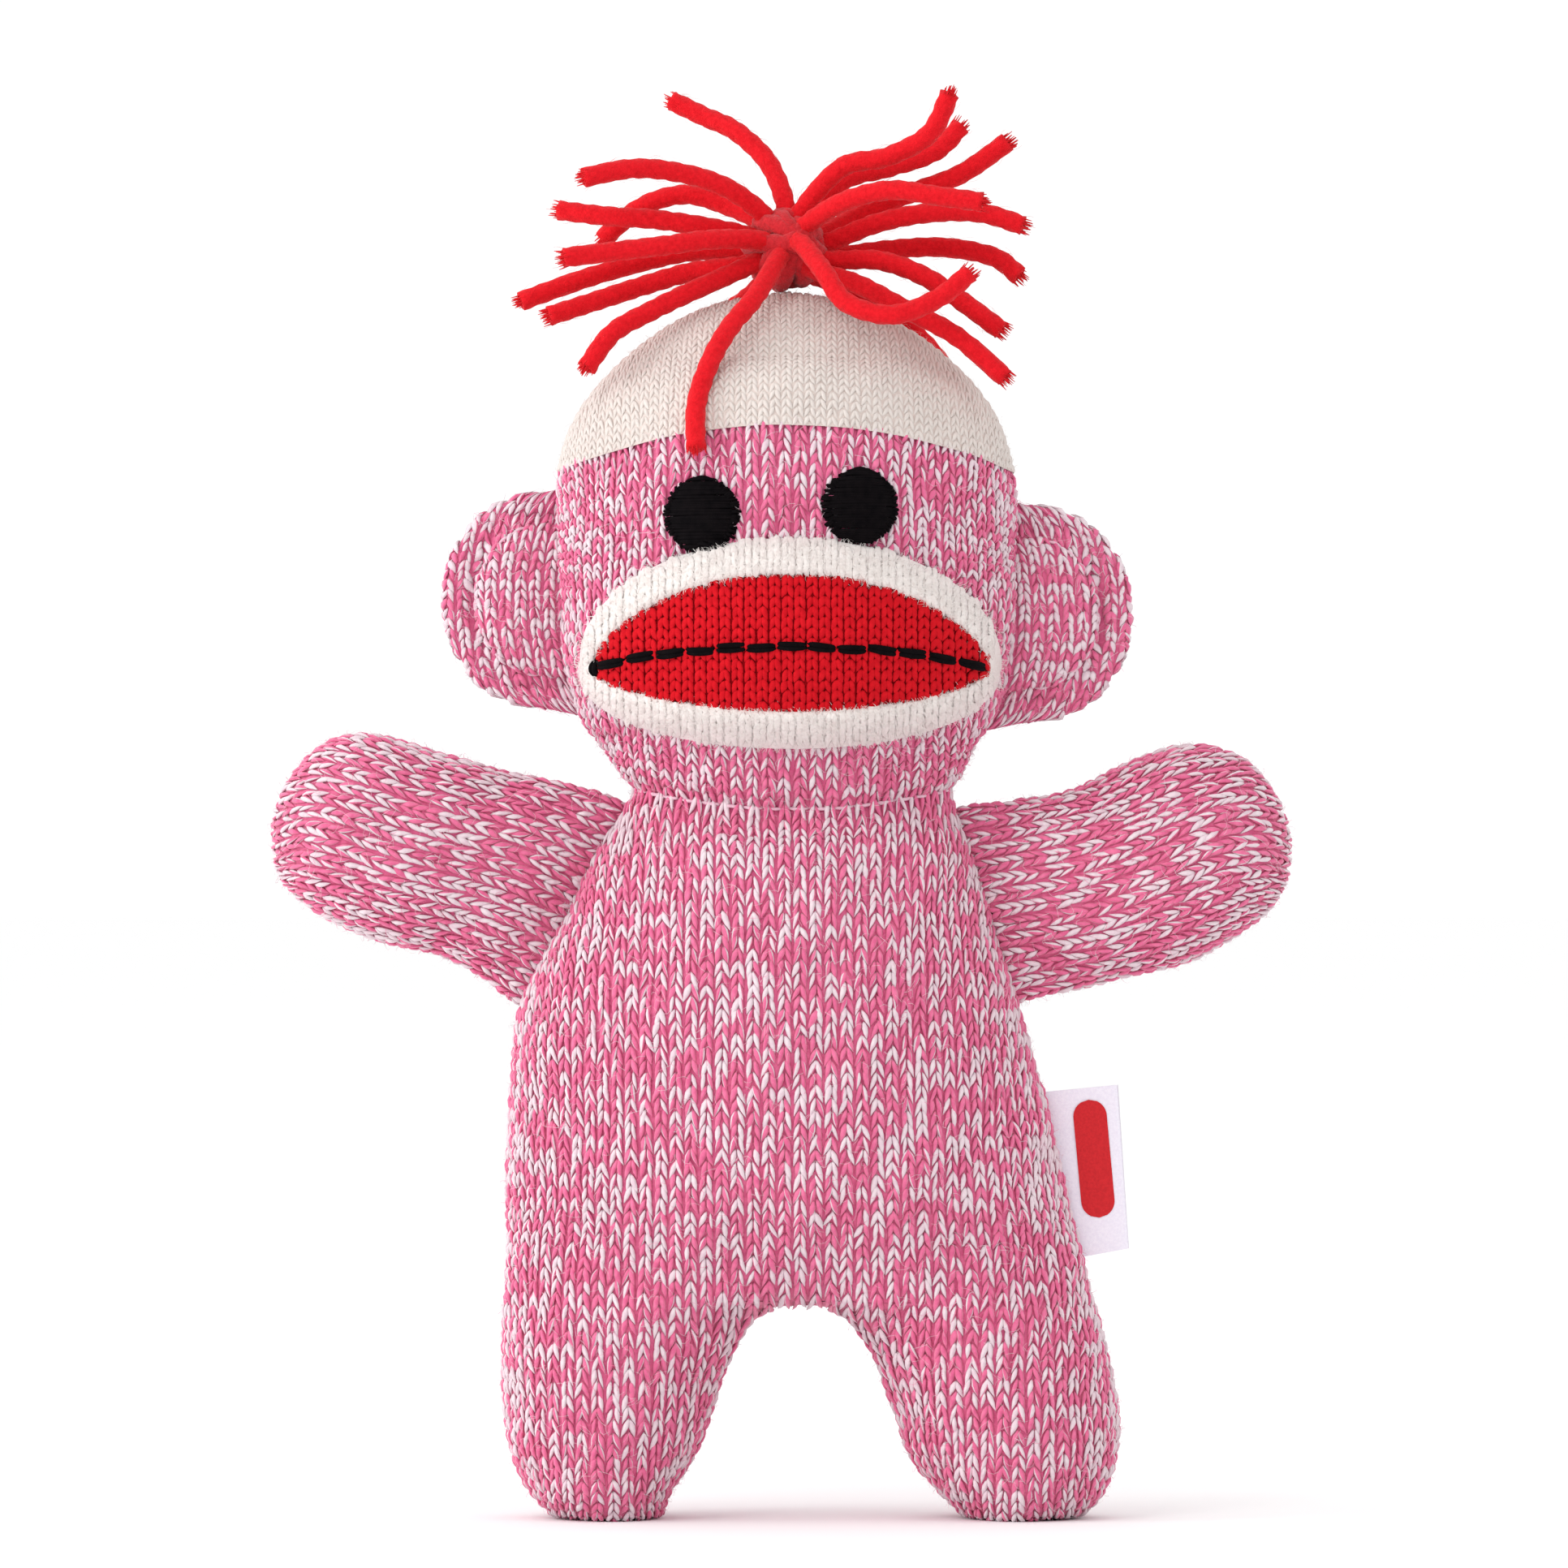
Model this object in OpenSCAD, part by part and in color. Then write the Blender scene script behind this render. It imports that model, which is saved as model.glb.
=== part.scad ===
// Knitted sock monkey with a yarn tuft. Millimetres, +Z up, the face looks along -Y.
// The two fabric panels of each limb meet in a seam on the plane y = seam_y.

/* [Body] */
// Distance of the side seams behind the origin
seam_y = 5; // [3:0.5:8]
// Thickness of the knitted body fabric
fabric = 1.4; // [1:0.1:1.8]
// Space between fabric and stuffing
ease = 0.5; // [0.4:0.1:0.8]
// Height of the axis that both legs bend about
hip_z = 31; // [30:0.5:32]
// Radius of the rounded tops of the legs
hip_r = 17; // [16.9:0.1:17.2]
// Play between bodies that turn against each other
play = 0.8; // [0.6:0.1:1]

/* [Neck] */
// Height of the axis that the head nods about
neck_z = 110; // [109.8:0.1:110.4]
// Middle of the neck from side to side
neck_x = 1.7; // [1:0.1:2.4]
// Half width of the neck
neck_w = 26; // [25:0.5:26]
// Half depth of the neck
neck_d = 17; // [16:0.5:17]

/* [Face] */
// How far the muzzle stands out from the face
muzzle_bulge = 8; // [6:0.5:10]
// Diameter of an embroidered eye
eye_dia = 11.6; // [9:0.1:13]
// How far the cap's edge rises over the forehead
cap_rise = 6.5; // [0:0.5:7]
// Thickness of the embroidery thread rows
embroidery = 1.3; // [0.8:0.1:1.6]

/* [Ears] */
// Width of the flat rim outside the ear's topstitching
ear_rim = 4.4; // [3:0.2:5]
// Half thickness of the padded middle of an ear
ear_pad = 4.4; // [3:0.2:5]

/* [Tuft] */
// Diameter of one strand of yarn
yarn = 3.2; // [2.6:0.1:3.3]
// Radius of the knot that ties the strands
knot_r = 7.2; // [6.4:0.1:7.4]

/* [Hidden] */

marl = "#b98a86";
cream = "#ece4d6";
red = "#b5201d";
black = "#17151a";
fibre = "#f4f1ea";
thread_white = "#e9dcd2";

arc = 12;          // steps round half of a section
sides = 24;        // steps round a whole section
row_steps = 2;     // rows made for each listed section
gape = 1.5;        // degrees by which a panel stops short of the seam plane
sole_reach = 7.5;  // how far a sole's fabric reaches in from its outline

// Sections of each limb: one end [x, z], the other end [x, z], and half the depth between them.
torso_rows = [
    [-42.5, 43.3, 46, 43.3, 23.5],
    [-42.6, 53, 43.8, 53, 25.5],
    [-42, 66, 40.6, 66, 26.5],
    [-40.6, 79.4, 36.9, 79.4, 25.5],
    [-34, 93, 32.8, 93, 23.5],
    [-29.2, 103, 29.9, 103, 20.5],
    [-24.6, 109.2, 27, 109.2, 17.5]
];
left_leg_rows = [
    [-35, 0, -18.5, 0, 10.5],
    [-39.3, 4.5, -15.8, 4.5, 14.5],
    [-42.4, 13, -12, 13, 16.4],
    [-43.3, 22, -9.2, 22, 16.8],
    [-43.2, 30, -4.4, 30, 16.8]
];
left_leg_top = [-42, 48, 0.2, 48, 16.6];
right_leg_rows = [
    [28.5, 0, 46, 0, 10.5],
    [23.6, 4.5, 50.2, 4.5, 14.5],
    [18.6, 13, 52.5, 13, 16.4],
    [15.2, 22, 51.4, 22, 16.8],
    [10.8, 30, 49.4, 30, 16.8]
];
right_leg_top = [5.4, 48, 44.4, 48, 16.6];
left_arm_rows = [
    [-26.6, 112.4, -42.4, 80.2, 1.3],
    [-33, 114, -46.5, 83.8, 5],
    [-42, 115.8, -53, 87.2, 9],
    [-53, 118.8, -62.5, 89.6, 12],
    [-63, 121.6, -70.5, 93, 12],
    [-71, 120.2, -75.6, 96.8, 9.5],
    [-76.5, 114.6, -78.3, 100.2, 5.5],
    [-78.9, 107.5, -79.1, 105, 1.6]
];
right_arm_rows = [
    [29.6, 111.2, 38.9, 80, 1.3],
    [36.5, 111.6, 45.5, 81.8, 5],
    [45, 113, 54, 84, 9],
    [54, 117.4, 64, 86.6, 12],
    [63, 120, 71, 90.6, 12],
    [71, 118.4, 75.8, 94.2, 9.5],
    [76.6, 112.6, 78.4, 98.4, 5.5],
    [78.9, 105.6, 79.1, 103, 1.6]
];
head_rows = [
    [-28.6, 120.6, 30.4, 120.6, 20.6],
    [-31.4, 125, 33.2, 125, 23.2],
    [-34, 135, 35.8, 135, 26.2],
    [-34.6, 147, 36.4, 147, 27.2],
    [-34.7, 157, 36.4, 157, 27],
    [-34, 164, 35.4, 164, 25.8],
    [-31.6, 170.4, 33, 170.4, 23],
    [-26, 177.6, 27.6, 177.6, 18.6],
    [-18.5, 183.8, 19.8, 183.8, 13],
    [-9.5, 188, 10.8, 188, 7],
    [-1, 189.6, 2.4, 189.6, 1.2]
];
cap_edge_z = 164;   // height of the cap's edge at the side seams
cap_fade = 17;      // height over which the cap's rise fades out
rim_share = 0.9;    // the head's lowest ring, as a share of the neck's width

muzzle_mid = [1.6, 136];
muzzle_half = [33.4, 16.6];
lip_mid = [1.4, 132.2];
lip_half = [29.6, 14];
lip_drop = 6.2;
mouth_arch = 3.6;
mouth_stitches = 13;
stitch_gap = 0.3;
lay = 0.7;          // space left under a piece that lies on a curved one

eye_left = [-12.5, 155.7];
eye_right = [12.5, 157.2];

ear_reach = 16;
ear_half = 17;
ear_skin = 1.3;
left_ear_hinge = [-35.8, 142.4];
right_ear_hinge = [37.6, 140.3];

label_corners = [[42.7, 66.4], [52.2, 67.2], [53.9, 41.8], [48.4, 40.8]];
label_mark_corners = [[47, 62.5], [50.4, 62.9], [51.6, 46.6], [49.6, 46.2]];
label_thick = 1;
knot_gap = 0.1;      // between the knot and the strands
knot_at = [0.6, seam_y, 196.8];

// Middle line of each yarn strand, from its side of the knot to its free end.
yarn_routes = [
    [[0.6, 5, 204.5], [-2, 8, 210.5], [-7, 11, 215.5], [-12, 14, 218], [-17, 16, 220.5]],
    [[3.6, 3, 203.5], [9.5, 1, 209.5], [16.5, -1, 211], [23, -3, 214.5], [26, -5, 220.5]],
    [[4, 7.5, 203.2], [10, 10, 208], [17, 12, 210], [24, 13, 212.5], [28, 14, 216.5]],
    [[6, 11, 199], [12, 15, 202.5], [20, 15, 206], [28, 14, 209], [35.3, 13, 214]],
    [[5, -0.5, 201.6], [10, -5, 204], [17, -8, 205.5], [24, -10, 204.5], [31, -11, 203.5]],
    [[8, 5.5, 198.2], [15, 5, 201], [23, 4, 202.5], [31, 4, 202.5], [37.5, 3, 200.5]],
    [[7.5, 8.6, 195.6], [16, 11, 197], [25, 12, 197.5], [33, 11, 196], [37, 10, 193]],
    [[7.5, 2.5, 195], [15, 0, 195], [22, -2, 192.5], [28, -3, 188.5], [34, -4, 184]],
    [[5.8, -0.4, 193], [12, -5, 191], [18.5, -7, 187.5], [27, -8, 183], [34.5, -9, 176.5]],
    [[5, 10.2, 193], [12, 15, 190.5], [19, 17, 186], [25, 18, 179.5], [28, 19, 172.5]],
    [[3, -1.8, 197.6], [6.5, -9, 193], [10, -13, 188], [17, -15, 186], [24, -14, 188.5], [29, -13, 192.5]],
    [[-0.5, -1.9, 195], [-4, -9, 189], [-8, -13, 184], [-11, -16.5, 178.5], [-13, -19.4, 172], [-13, -22.6, 165.3]],
    [[-5.4, 1, 194], [-14, -3, 190], [-20, -5, 187], [-26, -7, 183.5], [-30, -9, 178]],
    [[-6.4, 6.5, 194.4], [-14, 8, 193.5], [-21, 8, 191.5], [-28.5, 6, 189], [-36, 4, 186.5]],
    [[-5, 10, 197], [-13, 13, 197], [-21, 14, 195.5], [-31, 12, 192.5], [-40.5, 10, 189]],
    [[-6.2, 3.8, 199.2], [-13, 2.5, 200.5], [-20, 3, 201.5], [-27, 4, 202], [-34.5, 6, 203]],
    [[-4.2, -0.6, 198.2], [-11, -4.5, 198], [-18, -6.5, 197], [-26, -8, 196], [-33.5, -10, 195]],
    [[-3.2, 3, 202.6], [-9, 0, 206.5], [-16, -2, 208.5], [-23, -4, 209], [-30.5, -6, 207.5]],
    [[-2.2, 10.6, 201], [-8, 16, 204], [-15, 18, 206], [-22, 19, 204], [-28, 20, 199]],
    [[-0.4, 11.8, 195.4], [-4, 19, 191], [-9, 24, 187], [-12, 27, 181], [-14, 28.5, 174]]
];

// A smooth curve through rows of numbers, with steps rows made for each one listed.
function weave(p, i, u) =
    let (a = p[max(i - 1, 0)], b = p[i], c = p[min(i + 1, len(p) - 1)], d = p[min(i + 2, len(p) - 1)])
    b + (c - a) * u / 2 + (2 * a - 5 * b + 4 * c - d) * u * u / 2 + (3 * (b - c) + d - a) * u * u * u / 2;
function smooth(p, steps) =
    [for (i = [0:len(p) - 2], j = [0:steps - 1]) weave(p, i, j / steps), p[len(p) - 1]];

// A point of a section at turn t: 0 is its first end, 90 its front and 180 its second end.
function on_section(k, t, inset) =
    let (half = [k[2] - k[0], k[3] - k[1]] / 2, mid = [k[2] + k[0], k[3] + k[1]] / 2)
    let (s = 1 - inset / norm(half))
    [mid[0] - half[0] * s * cos(t), seam_y - (k[4] - inset) * sin(t), mid[1] - half[1] * s * cos(t)];
function whole_ring(k, inset) =
    [for (i = [0:sides - 1]) on_section(k, (i + 0.5) * 360 / sides - 90, inset)];
// Half a ring with a thickness: front for turn 0, back for turn 180.
function panel_ring(k, turn, thick = fabric) =
    let (t = [for (i = [0:arc]) turn + gape + (180 - 2 * gape) * i / arc])
    concat([for (i = [0:arc]) on_section(k, t[i], 0)], [for (i = [arc:-1:0]) on_section(k, t[i], thick)]);

// The round log that the top of a leg and the underside of the torso share, at a given radius.
function log_z(p, r) = hip_z + sqrt(max(0, r * r - pow(p[1] - seam_y, 2)));
function onto_leg_top(ring) = [for (p = ring) [p[0], p[1], log_z(p, hip_r)]];
function over_leg_top(ring) = [for (p = ring) [p[0], p[1], max(p[2], log_z(p, hip_r + play))]];
// The cap's edge rises over the forehead and the nape.
function cap_lift(p, k) =
    let (fade = max(0, 1 - pow((k[1] - cap_edge_z) / cap_fade, 2)), side = (p[1] - seam_y) / k[4])
    [p[0], p[1], p[2] + cap_rise * fade * min(1, side * side)];
function head_ring(ring, k) = [for (p = ring) cap_lift(p, k)];

// A closed solid through a list of rings that all have the same number of points.
module loft(rings) {
    n = len(rings[0]);
    last = len(rings) - 1;
    walls = [for (k = [0:last - 1], i = [0:n - 1])
        let (a = k * n + i, b = k * n + (i + 1) % n)
        each [[a, b, b + n], [a, b + n, a + n]]];
    low = [for (i = [0:n / 2 - 2]) each [[i, n - 1 - i, i + 1], [i + 1, n - 1 - i, n - 2 - i]]];
    top = [for (f = low) [f[0] + last * n, f[2] + last * n, f[1] + last * n]];
    polyhedron([for (r = rings) each r], concat(walls, low, top));
}

// A round cord along a list of points.
module cord(points, d, around) {
    last = len(points) - 1;
    loft([for (i = [0:last])
        let (way = points[min(i + 1, last)] - points[max(i - 1, 0)], u = way / norm(way))
        let (side = cross(u, abs(u[1]) < 0.8 ? [0, 1, 0] : [0, 0, 1]), v = side / norm(side), w = cross(u, v))
        [for (j = [0:around - 1])
            let (t = (j + 0.5) * 360 / around)
            points[i] + (v * cos(t) + w * sin(t)) * d / 2]]);
}

// A row of separate stitches along a list of points, a plump thread length in each.
module stitch_row(points, d) {
    for (i = [0:len(points) - 2]) {
        a = points[i];
        b = points[i + 1];
        u = (b - a) / norm(b - a);
        lift = [0, -d / 5, 0];
        side = cross(u, [0, 1, 0]) / norm(cross(u, [0, 1, 0]));
        ends = [[0.02, 0.45], [0.2, 0.9], [0.5, 1], [0.8, 0.9], [0.98, 0.45]];
        loft([for (e = ends)
            let (at = a + u * stitch_gap + (b - a - u * 2 * stitch_gap) * e[0] + lift * e[1])
            [for (j = [0:5]) at + (side * cos(60 * j + 30) + [0, -1, 0] * sin(60 * j + 30)) * e[1] * d / 2]]);
    }
}

// The torso's sections; its underside is raised over the tops of the legs.
torso_smooth = [for (k = smooth(torso_rows, row_steps)) if (k[1] < 44 || k[1] > 50) k];

module torso_panel(turn) {
    color(marl)
        loft([for (k = torso_smooth) k[1] < 44 ? over_leg_top(panel_ring(k, turn)) : panel_ring(k, turn)]);
}
module torso_stuffing() {
    inset = fabric + ease;
    color(fibre)
        loft([for (k = torso_smooth) k[1] < 44 ? over_leg_top(whole_ring(k, inset)) : whole_ring(k, inset)]);
}

// A leg's fabric: a closed sole below, open at the top where the leg joins the torso.
module leg_panel(rows, cap_row, turn) {
    used = smooth(rows, row_steps);
    color(marl)
        loft([
            panel_ring(used[0], turn, sole_reach),
            panel_ring(used[1], turn, sole_reach),
            for (i = [1:len(used) - 1]) panel_ring(used[i], turn),
            onto_leg_top(panel_ring(cap_row, turn))
        ]);
}
module leg_stuffing(rows, cap_row) {
    used = smooth(rows, row_steps);
    inset = fabric + ease;
    floor_ring = [for (p = whole_ring(used[1], inset)) p + [0, 0, ease]];
    color(fibre)
        loft([
            floor_ring,
            for (i = [2:len(used) - 1]) whole_ring(used[i], inset),
            onto_leg_top(whole_ring(cap_row, inset))
        ]);
}

module arm_panel(rows, turn) {
    used = smooth(rows, row_steps);
    color(marl) loft([for (k = used) if (k[4] > fabric + 0.15) panel_ring(k, turn)]);
}
module arm_stuffing(rows) {
    inset = fabric + ease;
    color(fibre) loft([for (k = smooth(rows, row_steps)) if (k[4] > inset + 0.6) whole_ring(k, inset)]);
}

// Rings of the ball of stuffing that the head nods on, grown by more.
function neck_ring(share, more) =
    let (k = [neck_x - neck_w - more, 0, neck_x + neck_w + more, 0, neck_d + more])
    [for (p = whole_ring(k, 0))
        [neck_x + (p[0] - neck_x) * share, seam_y + (p[1] - seam_y) * share,
            neck_z + (neck_d + more) * sqrt(1 - share * share)]];

module neck_stuffing() {
    foot = [for (p = neck_ring(1, 0)) [p[0], p[1], neck_z - 0.4]];
    color(fibre) loft([foot, for (a = [0:14:84]) neck_ring(cos(a), 0)]);
}
module neck_seam_thread() {
    k = [neck_x - neck_w - 0.8, 0, neck_x + neck_w + 0.8, 0, neck_d + 0.8];
    color(thread_white)
        for (turn = [0, 180])
            cord([for (i = [0:12])
                let (p = on_section(k, turn + 4 + 172 * i / 12, 0))
                [p[0], p[1], neck_z + 0.5]], 1, 6);
}

head_smooth = smooth(head_rows, row_steps);
head_side_rows = [for (k = head_smooth) if (k[1] <= cap_edge_z) k];
head_cap_rows = [for (k = head_smooth) if (k[1] >= cap_edge_z) k];

module head_panel(turn) {
    color(marl) loft([for (k = head_side_rows) head_ring(panel_ring(k, turn), k)]);
}
module head_stuffing() {
    inset = fabric + ease;
    color(fibre)
        loft([
            for (a = [84:-14:28]) neck_ring(cos(a), play),
            neck_ring(rim_share, play),
            for (k = head_smooth) if (k[4] > inset + 1) head_ring(whole_ring(k, inset), k)
        ]);
}
module knit_cap() {
    inner = [for (k = head_cap_rows) if (k[4] > fabric + 1) head_ring(whole_ring(k, fabric), k)];
    outer = [for (k = head_cap_rows) head_ring(whole_ring(k, 0), k)];
    color(cream)
        loft([for (i = [len(inner) - 1:-1:0]) inner[i], each outer]);
}

// The head's front surface at a place on the face.
head_left = [for (k = head_smooth) [k[1], k[0]]];
head_right = [for (k = head_smooth) [k[1], k[2]]];
head_deep = [for (k = head_smooth) [k[1], k[4]]];
function face_y(x, z) =
    let (a = lookup(z, head_left), b = lookup(z, head_right))
    let (s = (2 * x - a - b) / (b - a))
    seam_y - lookup(z, head_deep) * sqrt(max(0.02, 1 - s * s));
function muzzle_y(x, z) =
    let (u = (x - muzzle_mid[0]) / muzzle_half[0], v = (z - muzzle_mid[1]) / muzzle_half[1])
    face_y(x, z) - lay - muzzle_bulge * sqrt(max(0, 1 - u * u - v * v));

// A ring on the face round mid, at a share of the half sizes: rise above the middle, drop below it.
function face_ring(mid, half_x, rise, drop, share) =
    [for (i = [0:sides - 1])
        let (t = (i + 0.5) * 360 / sides - 90, v = sin(t))
        [mid[0] + half_x * share * cos(t), mid[1] + (v > 0 ? rise : drop) * share * v]];
function muzzle_ring(share, inset, dome) =
    [for (p = face_ring(muzzle_mid, muzzle_half[0] - inset, muzzle_half[1] - inset, muzzle_half[1] - inset, share))
        [p[0], face_y(p[0], p[1]) - lay - (dome - inset) * sqrt(1 - share * share), p[1]]];
shares = [0.12, 0.4, 0.65, 0.84, 0.95, 1];

module muzzle_panel() {
    color(cream)
        loft([
            for (s = shares) muzzle_ring(s, fabric, muzzle_bulge),
            for (i = [len(shares) - 1:-1:0]) muzzle_ring(shares[i], 0, muzzle_bulge)
        ]);
}
module muzzle_stuffing() {
    inset = fabric + ease;
    flat = inset;
    color(fibre)
        loft([
            for (s = shares) if (s < 0.97) muzzle_ring(s, inset, flat),
            for (i = [len(shares) - 2:-1:0]) muzzle_ring(shares[i], inset, muzzle_bulge)
        ]);
}
function lip_ring(share, out) =
    [for (p = face_ring(lip_mid, lip_half[0], lip_half[1], lip_drop, share))
        [p[0], muzzle_y(p[0], p[1]) - lay - out, p[1]]];
module lip_patch() {
    color(red)
        loft([
            for (s = shares) lip_ring(s, 0),
            for (i = [len(shares) - 1:-1:0]) lip_ring(shares[i], fabric * 0.7)
        ]);
}
module mouth_stitching() {
    color(black)
        stitch_row([for (i = [0:mouth_stitches])
            let (s = 2 * i / mouth_stitches - 1, x = lip_mid[0] + 0.93 * lip_half[0] * s)
            let (z = lip_mid[1] + mouth_arch * (1 - s * s))
            [x, muzzle_y(x, z) - lay - fabric * 0.7 - embroidery * 0.75, z]], embroidery);
}
module eye(mid) {
    r = eye_dia / 2;
    color(black)
        loft([
            for (s = shares)
                [for (p = face_ring(mid, r, r, r, s)) [p[0], face_y(p[0], p[1]) - lay, p[1]]],
            for (i = [len(shares) - 1:-1:0])
                [for (p = face_ring(mid, r, r, r, shares[i]))
                    [p[0], face_y(p[0], p[1]) - lay - 0.3 - embroidery * sqrt(1 - pow(shares[i], 2)), p[1]]]
        ]);
}

// Half thickness of an ear at a reach from its root, at height share v of its half height.
function ear_out(v) = ear_reach * sqrt(max(0, 1 - v * v));
function ear_fat(reach, v) =
    let (edge = ear_out(v) - ear_rim, mid = edge / 2)
    ear_skin + (edge < 2 ? 0 : (ear_pad - ear_skin) * sqrt(1 - v * v)
        * sqrt(max(0, 1 - pow((reach - mid) / mid, 2))));
ear_levels = [for (a = [-78:12:78]) sin(a)];
ear_across = [0, 0.06, 0.18, 0.34, 0.5, 0.66, 0.8, 1];
ear_root = 1.3;

// One fabric layer of an ear: way is -1 for the front and 1 for the back, hand is -1 for the left ear.
module ear_panel(hinge, hand, way) {
    m = len(ear_across) - 1;
    color(marl)
        loft([for (v = ear_levels)
            concat(
                [for (i = [0:m])
                    let (reach = ear_out(v) * ear_across[i])
                    [hinge[0] + hand * (ear_root + reach), seam_y + way * (ear_fat(reach, v)), hinge[1] + ear_half * v]],
                [for (i = [m:-1:0])
                    let (reach = ear_out(v) * ear_across[i])
                    [hinge[0] + hand * (ear_root + reach), seam_y + way * (ear_fat(reach, v) - ear_skin + 0.05),
                        hinge[1] + ear_half * v]]
            )]);
}
module ear_padding(hinge, hand) {
    color(fibre)
        loft([for (v = ear_levels)
            if (ear_out(v) - ear_rim > 4)
                let (edge = ear_out(v) - ear_rim)
                concat(
                    [for (u = [0.15:0.14:0.85])
                        [hinge[0] + hand * (ear_root + edge * u),
                            seam_y - max(0.2, ear_fat(edge * u, v) - ear_skin - 0.5), hinge[1] + ear_half * v]],
                    [for (u = [0.85:-0.14:0.15])
                        [hinge[0] + hand * (ear_root + edge * u),
                            seam_y + max(0.2, ear_fat(edge * u, v) - ear_skin - 0.5), hinge[1] + ear_half * v]]
                )]);
}
module ear_topstitch(hinge, hand) {
    color(thread_white)
        for (way = [-1, 1])
            cord([for (a = [-60:10:60])
                let (v = sin(a) * (1 - ear_rim / ear_half), reach = (ear_reach - ear_rim) * cos(a))
                [hinge[0] + hand * (ear_root + reach), seam_y + way * (ear_skin + 0.45), hinge[1] + ear_half * v]], 0.6, 6);
}

module upright_plate(corners, from, to) {
    translate([0, seam_y + to, 0])
        rotate([90, 0, 0])
            linear_extrude(to - from)
                polygon(corners);
}
module woven_label() {
    color(cream) upright_plate(label_corners, -label_thick / 2, label_thick / 2);
}
module label_mark() {
    color(red)
        for (side = [-1, 1])
            upright_plate(label_mark_corners, side * (label_thick / 2 + 0.15) - 0.1, side * (label_thick / 2 + 0.15) + 0.1);
}
module yarn_knot() {
    color(red) translate(knot_at) sphere(r = knot_r, $fn = 48);
}
// Each strand starts where its first point's direction meets the knot.
module yarn_strand(i) {
    route = yarn_routes[i - 1];
    way = (route[0] - knot_at) / norm(route[0] - knot_at);
    first = knot_at + way * (knot_r + knot_gap);
    color(red) cord([first, for (j = [1:len(route) - 1]) route[j]], yarn, 8);
}

torso_panel(0);  // torso_front_panel
torso_panel(180);  // torso_back_panel
torso_stuffing();
leg_panel(left_leg_rows, left_leg_top, 0);  // left_leg_front_panel
leg_panel(left_leg_rows, left_leg_top, 180);  // left_leg_back_panel
leg_stuffing(left_leg_rows, left_leg_top);  // left_leg_stuffing
leg_panel(right_leg_rows, right_leg_top, 0);  // right_leg_front_panel
leg_panel(right_leg_rows, right_leg_top, 180);  // right_leg_back_panel
leg_stuffing(right_leg_rows, right_leg_top);  // right_leg_stuffing
arm_panel(left_arm_rows, 0);  // left_arm_front_panel
arm_panel(left_arm_rows, 180);  // left_arm_back_panel
arm_stuffing(left_arm_rows);  // left_arm_stuffing
arm_panel(right_arm_rows, 0);  // right_arm_front_panel
arm_panel(right_arm_rows, 180);  // right_arm_back_panel
arm_stuffing(right_arm_rows);  // right_arm_stuffing
neck_stuffing();
neck_seam_thread();
head_panel(0);  // head_front_panel
head_panel(180);  // head_back_panel
head_stuffing();
knit_cap();
muzzle_panel();
muzzle_stuffing();
lip_patch();
mouth_stitching();
eye(eye_left);  // left_eye
eye(eye_right);  // right_eye
ear_panel(left_ear_hinge, -1, -1);  // left_ear_front_panel
ear_panel(left_ear_hinge, -1, 1);  // left_ear_back_panel
ear_padding(left_ear_hinge, -1);  // left_ear_padding
ear_topstitch(left_ear_hinge, -1);  // left_ear_topstitch
ear_panel(right_ear_hinge, 1, -1);  // right_ear_front_panel
ear_panel(right_ear_hinge, 1, 1);  // right_ear_back_panel
ear_padding(right_ear_hinge, 1);  // right_ear_padding
ear_topstitch(right_ear_hinge, 1);  // right_ear_topstitch
woven_label();
label_mark();
yarn_knot();
for (i = [1:20]) {
    yarn_strand(i);
}
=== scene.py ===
"""The looks of a stuffed monkey of marled stockinette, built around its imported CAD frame.

Lengths are in millimetres here, and each mesh is made in metres. X is the monkey's left-to-right as seen from
the front, the front faces -Y, and the two soles stand on Z = 0. Every knitted panel is a surface with its own
measure, across its wales and along them, and real stitches are laid on it one by one.
"""

import math

import bpy
import numpy as np
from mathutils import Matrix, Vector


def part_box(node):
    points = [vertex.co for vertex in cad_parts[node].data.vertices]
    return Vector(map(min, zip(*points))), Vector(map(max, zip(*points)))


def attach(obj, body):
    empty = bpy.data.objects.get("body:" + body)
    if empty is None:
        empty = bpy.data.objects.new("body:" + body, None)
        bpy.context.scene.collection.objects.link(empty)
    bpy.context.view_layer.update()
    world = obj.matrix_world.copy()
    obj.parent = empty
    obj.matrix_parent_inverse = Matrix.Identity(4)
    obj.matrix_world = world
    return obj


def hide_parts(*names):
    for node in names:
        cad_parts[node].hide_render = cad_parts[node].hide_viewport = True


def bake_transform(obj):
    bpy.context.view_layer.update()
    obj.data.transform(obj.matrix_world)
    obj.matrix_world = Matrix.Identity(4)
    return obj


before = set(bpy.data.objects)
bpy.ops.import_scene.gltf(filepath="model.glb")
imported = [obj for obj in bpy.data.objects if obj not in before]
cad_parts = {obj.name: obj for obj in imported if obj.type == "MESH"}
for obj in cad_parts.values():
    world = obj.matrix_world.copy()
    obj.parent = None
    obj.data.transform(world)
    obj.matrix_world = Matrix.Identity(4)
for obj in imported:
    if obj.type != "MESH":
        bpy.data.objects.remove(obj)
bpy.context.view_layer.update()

MM = 0.001
SEAM_Y = 5.0        # the plane of the side seams
MIDDLE_X = 1.7      # the middle of the body and head
FRONT, BACK = -1, 1
PANELS = (("front", FRONT), ("back", BACK))
HANDS = (("left", -1), ("right", 1))


# ---------------------------------------------------------------- places taken from the frame

def middle(node):
    low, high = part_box(node)
    return (np.array(low) + np.array(high)) / 2 / MM


def half_size(node):
    low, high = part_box(node)
    return (np.array(high) - np.array(low)) / 2 / MM


# ---------------------------------------------------------------- camera and light

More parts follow.
